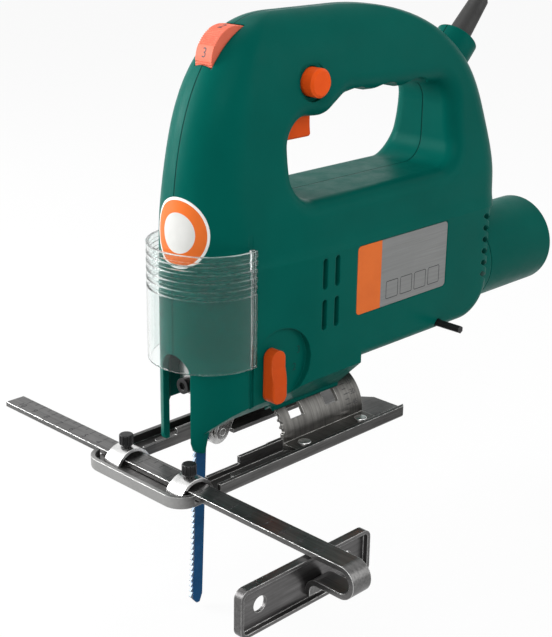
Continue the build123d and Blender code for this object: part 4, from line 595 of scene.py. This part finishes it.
guardFinish = {
    "tint": (0.93, 0.97, 0.96),
    "mirror": (0.6, 0.6, 0.6),  # tint of the reflection
    "index": 1.38,
    "rough": (0.02, 0.08),
    "cleanEnd": 0.3,  # handling marks fainter than this leave the gloss
    "grain": 420.0,
    "mottle": 40.0,
    "round": 0.0008,
    "rub": 5.0,
    "edges": 0.50,  # added roughness on cut edges and grooves
    "bump": 0.04,
}


def clearGuard():
    material, tree, shader = startFinish("clearGuard")
    finish = guardFinish
    grain = useGroup(tree, mouldGrain, Grain=finish["grain"], Mottle=finish["mottle"])
    rub = useGroup(tree, edgeRub, Radius=finish["round"], Reach=finish["rub"])
    shader.inputs["Base Color"].default_value = (*finish["tint"], 1)
    shader.inputs["Transmission Weight"].default_value = 1.0
    shader.inputs["IOR"].default_value = finish["index"]
    shader.inputs["Specular Tint"].default_value = (*finish["mirror"], 1)
    cut = calc(tree, "MULTIPLY", rub.outputs["Mask"], finish["edges"])
    handled = spread(tree, grain.outputs["Smudge"], finish["cleanEnd"], 1, *finish["rough"])
    tree.links.new(calc(tree, "ADD", handled, cut), shader.inputs["Roughness"])
    tree.links.new(rub.outputs["Mask"], shader.inputs["Coat Weight"])
    height = grain.outputs["Height"]
    raiseBump(tree, shader, height, finish["bump"], bumpDepth["grain"], rub.outputs["Normal"])
    return material


bladeFinish = {
    "paint": (0.004, 0.058, 0.155),
    "shade": (0.003, 0.046, 0.122),
    "bare": (0.110, 0.135, 0.165),
    "toothEdge": 0.0014,  # thin worn paint along the teeth
    "ragged": 0.0007,
    "fade": 0.0006,
    "rubShare": 0.7,
    "back": (0.0305, 0.040),  # back edge's x and z
    "lean": 2.2,
    "width": 0.0075,
    "grain": 2200.0,
    "mottle": 120.0,
    "round": 0.0003,
    "rub": 3.0,
    "metal": 0.95,
    "rough": (0.26, 0.40),
    "gloss": 0.06,
    "bump": 0.10,
}


def bladePaint():
    material, tree, shader = startFinish("bladePaint")
    finish = bladeFinish
    grain = useGroup(tree, mouldGrain, Grain=finish["grain"], Mottle=finish["mottle"])
    rub = useGroup(tree, edgeRub, Radius=finish["round"], Reach=finish["rub"])
    axes = objectAxes(tree)
    backX, backZ = finish["back"]
    slope = math.tan(math.radians(finish["lean"]))
    below = calc(tree, "SUBTRACT", backZ, axes["Z"])
    edgeX = calc(tree, "SUBTRACT", backX - finish["width"], calc(tree, "MULTIPLY", below, slope))
    inward = calc(tree, "SUBTRACT", axes["X"], edgeX)
    ragged = calc(tree, "MULTIPLY", grain.outputs["Tone"], finish["ragged"])
    band = finish["toothEdge"]
    bare = spread(tree, calc(tree, "ADD", inward, ragged), band, band + finish["fade"], 1, 0)
    rubbed = calc(tree, "MULTIPLY", rub.outputs["Mask"], finish["rubShare"])
    bare = calc(tree, "MINIMUM", calc(tree, "ADD", bare, rubbed), 1.0)
    paint = blendColour(tree, grain.outputs["Tone"], finish["paint"], finish["shade"])
    tree.links.new(blendColour(tree, bare, paint, finish["bare"]), shader.inputs["Base Color"])
    tree.links.new(calc(tree, "MULTIPLY", bare, finish["metal"]), shader.inputs["Metallic"])
    rough = spread(tree, grain.outputs["Smudge"], 0, 1, *finish["rough"])
    tree.links.new(rough, shader.inputs["Roughness"])
    shader.inputs["Specular IOR Level"].default_value = finish["gloss"]
    height = grain.outputs["Height"]
    raiseBump(tree, shader, height, finish["bump"], bumpDepth["paint"], rub.outputs["Normal"])
    return material


guardClear = clearGuard()
bladeBlue = bladePaint()
print("finishes ready")


wearsFinish = {
    housingGreen: ("housing_left", "housing_right"),
    spoutGreen: ("dust_spout",),
    controlOrange: ("trigger", "lock_button"),
    leverOrange: ("orbit_lever",),
    dialOrange: ("speed_dial",),
    guardClear: ("guard",),
    blackMoulding: (
        "switch_body", "speed_board", "brush_holders", "fan", "plug", "gear_plate", "yoke_slider",
    ),
    cordRubber: ("cord_sleeve", "cord_tie"),
    carbonBlock: ("carbon_brushes",),
    soleSteel: ("sole_plate",),
    saddleSteel: ("saddle", "bevel_shoe"),
    barSteel: ("guide_bar",),
    fenceSteel: ("fence_plate",),
    brightSteel: (
        "bevel_bolts", "front_bearing", "rear_bearing", "armature_shaft", "drive_gear", "gear_shaft",
        "crank_pin", "plunger", "plunger_carrier", "carrier_pin", "rocker_pin", "blade_clamp",
        "roller", "rocker", "roller_pin", "orbit_shaft", "plug_pins",
    ),
    zincSteel: ("guide_clips", "sole_rivets"),
    blackSteel: (
        "housing_screws", "guide_screw_left", "guide_screw_right", "clamp_screws", "hex_key",
    ),
    laminatedSteel: ("stator_core", "armature_core"),
    woundCopper: ("field_coils", "armature_winding", "commutator"),
    sinteredBronze: ("plunger_bushings",),
    bladeBlue: ("blade",),
}


def dressNodes():
    for material, names in wearsFinish.items():
        for name in names:
            for slot in nodes[name].material_slots:
                slot.material = material


dressNodes()
print("nodes dressed")


# Mains lead, one smooth line from the sleeve over the rear and down to the coil and the plug

lead = {
    "radius": 3.75 * mm,
    "length": 1.855,
    "exit": (221.06, 0, 195.70),
    "start": (212.0, 0, 186.3),  # inside the sleeve
    "route": (
        (221.06, 0, 195.70), (239, -1, 214), (263, -6, 222), (288, -13, 218), (310, -20, 201),
        (324, -26, 170), (326, -29, 124), (328, -31, 72), (328, -30, 18), (327, -31, -36),
        (327, -64, -70.65),
    ),
    "coilCentre": (275, -113),
    "coilZ": -70.65,
    "turns": 5.25,
    "pointsPerTurn": 24,
    "outer": 52.0,
    "step": 8.2,
    "turnBack": 0.1,  # turns over which the coil rounds from inward to outward
    "climb": 0.5,  # turns for the rise to the upper layer
    "tail": ((248, -165, -62.45), (219, -165, -62.45)),
    "order": 3,
    "pathSteps": 10,
    "ringSteps": 5,
}


def coilPoint(turn):
    middle = lead["turns"] / 2
    soft = lead["turnBack"] ** 2
    away = math.sqrt((turn - middle) ** 2 + soft)
    radius = lead["outer"] - lead["step"] * (math.sqrt(middle ** 2 + soft) - away)
    share = min(1, max(0, (turn - middle) / lead["climb"] + 0.5))
    rise = share * share * (3 - 2 * share)
    angle = -2 * math.pi * turn
    x, y = lead["coilCentre"]
    z = lead["coilZ"] + lead["step"] * rise
    return (x + radius * math.cos(angle), y + radius * math.sin(angle), z)


def layLead():
    points = [lead["start"], *lead["route"]]
    count = int(lead["turns"] * lead["pointsPerTurn"])
    for k in range(count + 1):
        points.append(coilPoint(lead["turns"] * k / count))
    points.extend(lead["tail"])
    curve = bpy.data.curves.new("mainsLead", "CURVE")
    curve.dimensions = "3D"
    curve.resolution_u = lead["pathSteps"]
    curve.bevel_depth = lead["radius"]
    curve.bevel_resolution = lead["ringSteps"]
    curve.use_fill_caps = True
    spline = curve.splines.new("NURBS")
    spline.points.add(len(points) - 1)
    for target, point in zip(spline.points, points):
        target.co = (*(c * mm for c in point), 1)
    spline.order_u = lead["order"]
    spline.use_endpoint_u = True
    curve.materials.append(cordRubber)
    piece = bpy.data.objects.new("mainsLead", curve)
    bpy.context.scene.collection.objects.link(piece)
    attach(piece, "body")
    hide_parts("cord", "cord_coil")


layLead()
print("mains lead laid")


# Printed and stuck-on pieces

def addPiece(name, mesh, material, body):
    piece = bpy.data.objects.new(name, mesh)
    mesh.materials.append(material)
    bpy.context.scene.collection.objects.link(piece)
    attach(piece, body)


def meshData(name, mesh):
    data = bpy.data.meshes.new(name)
    mesh.to_mesh(data)
    mesh.free()
    return data


def bandFaces(mesh, lower, upper):
    # one row of faces between two closed rings of points
    count = len(lower)
    for k in range(count):
        n = (k + 1) % count
        mesh.faces.new((lower[k], lower[n], upper[n], upper[k]))


def roundedLoop(x0, x1, z0, z1, corner, steps=6):
    # outline in x and z, anticlockwise, each corner with its own radius
    loop = []
    middles = (
        (x1, z0, -1, 1, corner[1], -90), (x1, z1, -1, -1, corner[2], 0),
        (x0, z1, 1, -1, corner[3], 90), (x0, z0, 1, 1, corner[0], 180),
    )
    for x, z, sideX, sideZ, radius, first in middles:
        for k in range(steps + 1):
            angle = math.radians(first + 90 * k / steps)
            loop.append((
                x + sideX * radius + radius * math.cos(angle),
                z + sideZ * radius + radius * math.sin(angle),
            ))
    return loop


def filmMesh(name, loop, floorY, thick, soft):
    # thin film on a face that looks to -y, its upper edge softened
    mesh = bmesh.new()
    rings = []
    centre = sum((Vector(point) for point in loop), Vector((0, 0))) / len(loop)
    for inset, y in ((0, floorY), (0, floorY - thick + soft), (soft, floorY - thick)):
        ring = []
        for point in loop:
            away = Vector(point) - centre
            x, z = centre + away * (1 - inset / away.length)
            ring.append(mesh.verts.new((x * mm, y * mm, z * mm)))
        rings.append(ring)
    for lower, upper in zip(rings, rings[1:]):
        bandFaces(mesh, lower, upper)
    mesh.faces.new(rings[-1])
    mesh.faces.new(list(reversed(rings[0])))
    bmesh.ops.recalc_face_normals(mesh, faces=mesh.faces[:])
    return meshData(name, mesh)


filmSilver = plainSteel("filmSilver", {
    "dark": (0.155, 0.159, 0.157),
    "light": (0.200, 0.205, 0.202),
    "edge": (0.40, 0.40, 0.40),
    "stretch": (30.0, 900.0, 1300.0),
    "stain": 40.0,
    "stains": 0.3,
    "metal": 0.25,
    "rough": (0.34, 0.46),
    "round": 0.0002,
    "rub": 1.0,
    "bump": 0.08,
})
filmOrange = mouldedPlastic("filmOrange", {
    "colour": (0.68, 0.140, 0.020),
    "shade": (0.62, 0.122, 0.017),
    "rubbed": (0.80, 0.240, 0.090),
    "grain": 2400.0,
    "mottle": 60.0,
    "round": 0.0002,
    "rub": 1.0,
    "rough": (0.32, 0.42),
    "gloss": 0.14,
    "bump": 0.05,
})
filmWhite = mouldedPlastic("filmWhite", {
    "colour": (0.76, 0.76, 0.74),
    "shade": (0.70, 0.70, 0.68),
    "rubbed": (0.82, 0.82, 0.80),
    "grain": 2400.0,
    "mottle": 80.0,
    "round": 0.0002,
    "rub": 1.0,
    "rough": (0.32, 0.44),
    "gloss": 0.35,
    "bump": 0.05,
})
printBlack = mouldedPlastic("printBlack", {
    "colour": (0.018, 0.018, 0.019),
    "shade": (0.026, 0.026, 0.027),
    "rubbed": (0.040, 0.040, 0.040),
    "grain": 2600.0,
    "mottle": 150.0,
    "round": 0.0001,
    "rub": 1.0,
    "rough": (0.45, 0.60),
    "gloss": 0.3,
    "bump": 0.05,
})
filmPale = mouldedPlastic("filmPale", {
    "colour": (0.58, 0.58, 0.56),
    "shade": (0.52, 0.52, 0.50),
    "rubbed": (0.66, 0.66, 0.64),
    "grain": 2400.0,
    "mottle": 70.0,
    "round": 0.0002,
    "rub": 1.0,
    "rough": (0.30, 0.42),
    "gloss": 0.35,
    "bump": 0.05,
})
figureGreen = mouldedPlastic("figureGreen", {
    "colour": (0.0005, 0.046, 0.037),
    "shade": (0.0004, 0.036, 0.029),
    "rubbed": (0.003, 0.080, 0.064),
    "grain": 1800.0,
    "mottle": 90.0,
    "round": 0.0001,
    "rub": 1.0,
    "rough": (0.40, 0.54),
    "gloss": 0.12,
    "bump": 0.08,
})
etchedLine = plainSteel("etchedLine", {
    "dark": (0.016, 0.016, 0.017),
    "light": (0.040, 0.040, 0.041),
    "edge": (0.09, 0.09, 0.09),
    "stretch": (700.0, 700.0, 700.0),
    "stain": 200.0,
    "stains": 0.4,
    "metal": 0.3,
    "rough": (0.45, 0.65),
    "round": 0.0001,
    "rub": 1.0,
    "bump": 0.10,
})

ratingPlate = {
    "x": (99.4, 166.6),
    "z": (60.4, 94.0),
    "split": 116.5,
    "floor": -28.4,
    "thick": 0.22,
    "soft": 0.08,
    "corner": 2.1,
    "butt": 0.01,  # corner where strip and panel meet
    "frames": 4,
    "frameSize": 9.0,
    "frameLine": 0.35,
    "frameZ": 63.6,
    "frameX": (120.5, 152.5),
    "frameCorners": (0.8, 0.5),
    "frameLift": 0.02,
    "frameDepth": 0.03,
}


def frameMesh(name, x0):
    p = ratingPlate
    x1 = x0 + p["frameSize"]
    z0 = p["frameZ"]
    z1 = z0 + p["frameSize"]
    line = p["frameLine"]
    outside, inside = p["frameCorners"]
    outer = roundedLoop(x0, x1, z0, z1, (outside,) * 4, 4)
    inner = roundedLoop(x0 + line, x1 - line, z0 + line, z1 - line, (inside,) * 4, 4)
    top = p["floor"] - p["thick"] - p["frameLift"]
    foot = top + p["frameDepth"]
    mesh = bmesh.new()
    rings = []
    for loop, level in ((outer, foot), (outer, top), (inner, top), (inner, foot)):
        rings.append([mesh.verts.new((x * mm, level * mm, z * mm)) for x, z in loop])
    for lower, upper in zip(rings, rings[1:] + rings[:1]):
        bandFaces(mesh, lower, upper)
    bmesh.ops.recalc_face_normals(mesh, faces=mesh.faces[:])
    return meshData(name, mesh)


def stickPlate():
    p = ratingPlate
    c = p["corner"]
    b = p["butt"]
    strip = roundedLoop(p["x"][0], p["split"], *p["z"], (c, b, b, c))
    panel = roundedLoop(p["split"], p["x"][1], *p["z"], (b, c, c, b))
    for name, loop, film, slot in (
        ("plateStrip", strip, filmOrange, "orange_plastic"),
        ("platePanel", panel, filmSilver, "sheet_steel"),
    ):
        addPiece(name, filmMesh(name, loop, p["floor"], p["thick"], p["soft"]), film, "body")
    first, last = p["frameX"]
    for k in range(p["frames"]):
        x = first + (last - first) * k / (p["frames"] - 1)
        name = "plateFrame" + str(k + 1)
        addPiece(name, frameMesh(name, x), printBlack, "body")


stickPlate()
print("rating plate stuck on")


# Round sticker on the nose, laid on the housing by rays towards the head's axis

noseSticker = {
    "axis": (35.4, 0.0),  # of the head, in x and y
    "z": 112.6,
    "turn": 7.0,  # degrees round from the nose to the left side
    "bend": 25.0,  # radius of the head that the disc is bent to
    "thick": 0.14,
    "rings": (2.5, 5.0, 7.0, 8.9, 9.2, 11.0, 12.8, 14.3, 14.6, 15.3),
    "edge": 15.5,
    "edgeShare": 0.6,  # of the thickness, where the rim turns down
    "sink": 0.1,  # the rim's foot goes this far into the housing
    "orange": (9.0, 14.45),
    "sides": 96,
    "rayStart": 60.0,
}


def housingRays():
    points = []
    faces = []
    for name in ("housing_left", "housing_right"):
        mesh = nodes[name].data
        first = len(points)
        points.extend(vert.co.copy() for vert in mesh.vertices)
        faces.extend([first + k for k in face.vertices] for face in mesh.polygons)
    return BVHTree.FromPolygons(points, faces)


def stickDisc():
    s = noseSticker
    rays = housingRays()
    mesh = bmesh.new()

    def lay(radius, angle, lift):
        turn = math.radians(s["turn"]) + radius * math.cos(angle) / s["bend"]
        out = Vector((-math.cos(turn), -math.sin(turn), 0))
        axis = Vector((s["axis"][0], s["axis"][1], s["z"] + radius * math.sin(angle))) * mm
        place = rays.ray_cast(axis + out * s["rayStart"] * mm, -out)[0]
        return mesh.verts.new(place + out * lift * mm)

    middle = lay(0, 0, s["thick"])
    levels = [(radius, s["thick"]) for radius in s["rings"]]
    levels += [(s["edge"], s["edgeShare"] * s["thick"]), (s["edge"], -s["sink"])]
    rings = []
    for radius, lift in levels:
        rings.append([lay(radius, 2 * math.pi * k / s["sides"], lift) for k in range(s["sides"])])
    low, high = s["orange"]
    before = 0
    for place, ring in enumerate(rings):
        radius = (before + levels[place][0]) / 2
        ink = 2 if radius < low else 1 if radius < high else 0  # pale, orange, white
        for k in range(s["sides"]):
            n = (k + 1) % s["sides"]
            if place == 0:
                face = mesh.faces.new((middle, ring[k], ring[n]))
            else:
                inner = rings[place - 1]
                face = mesh.faces.new((inner[k], ring[k], ring[n], inner[n]))
            face.material_index = ink
            face.smooth = True
        before = levels[place][0]
    data = meshData("noseSticker", mesh)
    addPiece("noseSticker", data, filmWhite, "body")
    data.materials.append(filmOrange)
    data.materials.append(filmPale)


stickDisc()
print("sticker laid on the nose")


# Plain figures and scale lines

figureLook = {
    "tall": 0.7,  # height of a figure as a share of the type size
    "steps": 4,
}


def figureMesh(mesh, text, height, depth, cuts, place):
    # a plain figure, cut fine, its points put where place says, all in millimetres
    curve = bpy.data.curves.new("figure", "FONT")
    curve.body = text
    curve.size = height / figureLook["tall"]
    curve.align_x = "CENTER"
    curve.align_y = "CENTER"
    curve.extrude = depth / 2
    curve.resolution_u = figureLook["steps"]
    holder = bpy.data.objects.new("figure", curve)
    flat = bpy.data.meshes.new_from_object(holder)
    piece = bmesh.new()
    piece.from_mesh(flat)
    bmesh.ops.triangulate(piece, faces=piece.faces[:])
    bmesh.ops.subdivide_edges(piece, edges=piece.edges[:], cuts=cuts)
    for vert in piece.verts:
        vert.co = Vector(place(*vert.co)) * mm
    bent = meshData("figureBent", piece)
    mesh.from_mesh(bent)
    bpy.data.objects.remove(holder)
    bpy.data.curves.remove(curve)
    bpy.data.meshes.remove(flat)
    bpy.data.meshes.remove(bent)


def lineMesh(mesh, u0, u1, v0, v1, depth, place):
    # one scale line as a low bar, in millimetres
    corners = ((u0, -depth), (u0, depth / 2), (u1, depth / 2), (u1, -depth))
    ends = []
    for v in (v0, v1):
        ends.append([mesh.verts.new(Vector(place(u, v, w)) * mm) for u, w in corners])
    bandFaces(mesh, *ends)
    mesh.faces.new(ends[0])
    mesh.faces.new(list(reversed(ends[1])))


def closeMarks(name, mesh, material, body):
    bmesh.ops.recalc_face_normals(mesh, faces=mesh.faces[:])
    addPiece(name, meshData(name, mesh), material, body)


dialFigures = {
    "centre": (43.5, 182.5),
    "radius": 14.6,
    "panels": 6,
    "first": 44.4,  # degrees to the middle of the first smooth panel
    "height": 4.3,
    "depth": 0.10,
}


def markDial():
    d = dialFigures
    mesh = bmesh.new()
    for k in range(d["panels"]):
        middle = math.radians(d["first"] + 360 * k / d["panels"])

        def wrap(u, v, w):
            angle = middle - v / d["radius"]
            radius = d["radius"] + w
            x, z = d["centre"]
            return (x + radius * math.cos(angle), -u, z + radius * math.sin(angle))

        figureMesh(mesh, str(k + 1), d["height"], d["depth"], 3, wrap)
    closeMarks("dialFigures", mesh, printBlack, "speed_dial")


barScale = {
    "top": 4.75,
    "edge": 4.9,
    "reach": 100,
    "step": 5,
    "figureStep": 10,
    "short": 2.4,
    "long": 3.8,
    "line": 0.34,
    "figureX": -1.9,
    "height": 3.4,
    "depth": 0.06,
}


def markBar():
    b = barScale
    mesh = bmesh.new()

    def flat(u, v, w):
        return (v, -u, b["top"] + w)

    for y in range(-b["reach"], b["reach"] + 1, b["step"]):
        whole = y % b["figureStep"] == 0
        start = b["edge"] - (b["long"] if whole else b["short"])
        half = b["line"] / 2
        lineMesh(mesh, -y - half, -y + half, start, b["edge"], b["depth"], flat)
        if whole and y != 0:
            def beside(u, v, w, at=y):
                return flat(u - at, v + b["figureX"], w)

            text = str(abs(y) // b["figureStep"])
            figureMesh(mesh, text, b["height"], b["depth"], 1, beside)
    closeMarks("barScale", mesh, etchedLine, "guide")


tiltScale = {
    "axisZ": 5.0,
    "radius": 20.0,
    "x": 105.6,
    "short": 2.4,
    "long": 3.6,
    "line": 0.4,
    "angles": (30, 37.5, 45, 52.5, 60, 67.5, 75),
    "figures": {30: "0", 45: "15", 60: "30", 75: "45"},
    "figureGap": 2.6,
    "height": 2.6,
    "depth": 0.08,
}


def markSaddle():
    t = tiltScale
    mesh = bmesh.new()
    for side in (-1, 1):
        for angle in t["angles"]:
            middle = math.radians(angle)

            def wrap(u, v, w):
                turn = middle - v / t["radius"]
                radius = t["radius"] + w
                y = side * radius * math.sin(turn)
                return (-side * u, y, t["axisZ"] + radius * math.cos(turn))

            length = t["long"] if angle in t["figures"] else t["short"]
            start = t["x"] if side < 0 else -t["x"] - length
            half = t["line"] / 2
            lineMesh(mesh, start, start + length, -half, half, t["depth"], wrap)
            if angle in t["figures"]:
                def beside(u, v, w):
                    return wrap(u - side * (t["x"] + t["long"] + t["figureGap"]), v, w)

                figureMesh(mesh, t["figures"][angle], t["height"], t["depth"], 2, beside)
    closeMarks("tiltScale", mesh, etchedLine, "base")


leverFigures = {
    "pivot": (45.0, 53.5),
    "radius": 19.0,
    "floor": -25.1,
    "angles": (305, 330, 355),
    "height": 3.6,
    "depth": 0.14,
}


def markDish():
    f = leverFigures
    mesh = bmesh.new()
    for k, angle in enumerate(f["angles"]):
        x = f["pivot"][0] + f["radius"] * math.cos(math.radians(angle))
        z = f["pivot"][1] + f["radius"] * math.sin(math.radians(angle))

        def onDish(u, v, w):
            return (x + u, f["floor"] - w, z + v)

        figureMesh(mesh, str(k + 1), f["height"], f["depth"], 1, onDish)
    closeMarks("leverFigures", mesh, figureGreen, "body")


markDial()
markBar()
markSaddle()
markDish()
print("figures and scales marked")


# Floor and light

floorLook = {
    "z": -76.0 * mm,
    "size": 12.0,
    "white": 0.78,
    "rough": 0.9,
    "shadow": 0.08,  # share of the lit floor that the camera sees
}


def addFloor():
    mesh = bmesh.new()
    half = floorLook["size"] / 2
    corners = ((-half, -half), (half, -half), (half, half), (-half, half))
    mesh.faces.new([mesh.verts.new((x, y, floorLook["z"])) for x, y in corners])
    data = meshData("paleFloor", mesh)
    material, tree, shader = startFinish("paleFloor")
    shader.inputs["Base Color"].default_value = (floorLook["white"],) * 3 + (1,)
    shader.inputs["Roughness"].default_value = floorLook["rough"]
    shader.inputs["Specular IOR Level"].default_value = 0.0
    glow = tree.nodes.new("ShaderNodeEmission")
    glow.inputs["Color"].default_value = (1, 1, 1, 1)
    share = calc(tree, "MULTIPLY", seenRays(tree), 1 - floorLook["shadow"])
    mix = tree.nodes.new("ShaderNodeMixShader")
    tree.links.new(share, mix.inputs[0])
    tree.links.new(shader.outputs[0], mix.inputs[1])
    tree.links.new(glow.outputs[0], mix.inputs[2])
    tree.links.new(mix.outputs[0], tree.nodes["Material Output"].inputs["Surface"])
    data.materials.append(material)
    floor = bpy.data.objects.new("paleFloor", data)
    bpy.context.scene.collection.objects.link(floor)


worldLook = {
    "level": 0.42,
}
lamps = {
    "keyBox": {"from": (-0.75, -0.75, 1.05), "at": (0.09, 0, 0.09), "power": 8.5, "size": 0.9},
    "sideBox": {"from": (0.75, -1.10, 0.55), "at": (0.12, 0, 0.09), "power": 4.5, "size": 1.0},
    "leftBox": {"from": (-0.60, 0.90, 0.42), "at": (0.03, 0, 0.12), "power": 20.0, "size": 0.8},
    "crownBox": {"from": (0.25, 0.35, 1.35), "at": (0.10, 0, 0.10), "power": 5.0, "size": 0.8},
}


def addWorld():
    world = bpy.data.worlds.new("paleRoom")
    bpy.context.scene.world = world
    world.use_nodes = True
    tree = world.node_tree
    back = tree.nodes["Background"]
    back.inputs["Color"].default_value = (1, 1, 1, 1)
    level = spread(tree, seenRays(tree), 0, 1, worldLook["level"], 1)
    tree.links.new(level, back.inputs["Strength"])


def addLamps():
    for name, lamp in lamps.items():
        light = bpy.data.lights.new(name, "AREA")
        light.shape = "DISK"
        light.size = lamp["size"]
        light.energy = lamp["power"]
        piece = bpy.data.objects.new(name, light)
        start = Vector(lamp["from"])
        aim = (Vector(lamp["at"]) - start).to_track_quat("-Z", "Y").to_matrix().to_4x4()
        piece.matrix_world = Matrix.Translation(start) @ aim
        bpy.context.scene.collection.objects.link(piece)


addFloor()
addWorld()
addLamps()
print("floor and lamps placed")
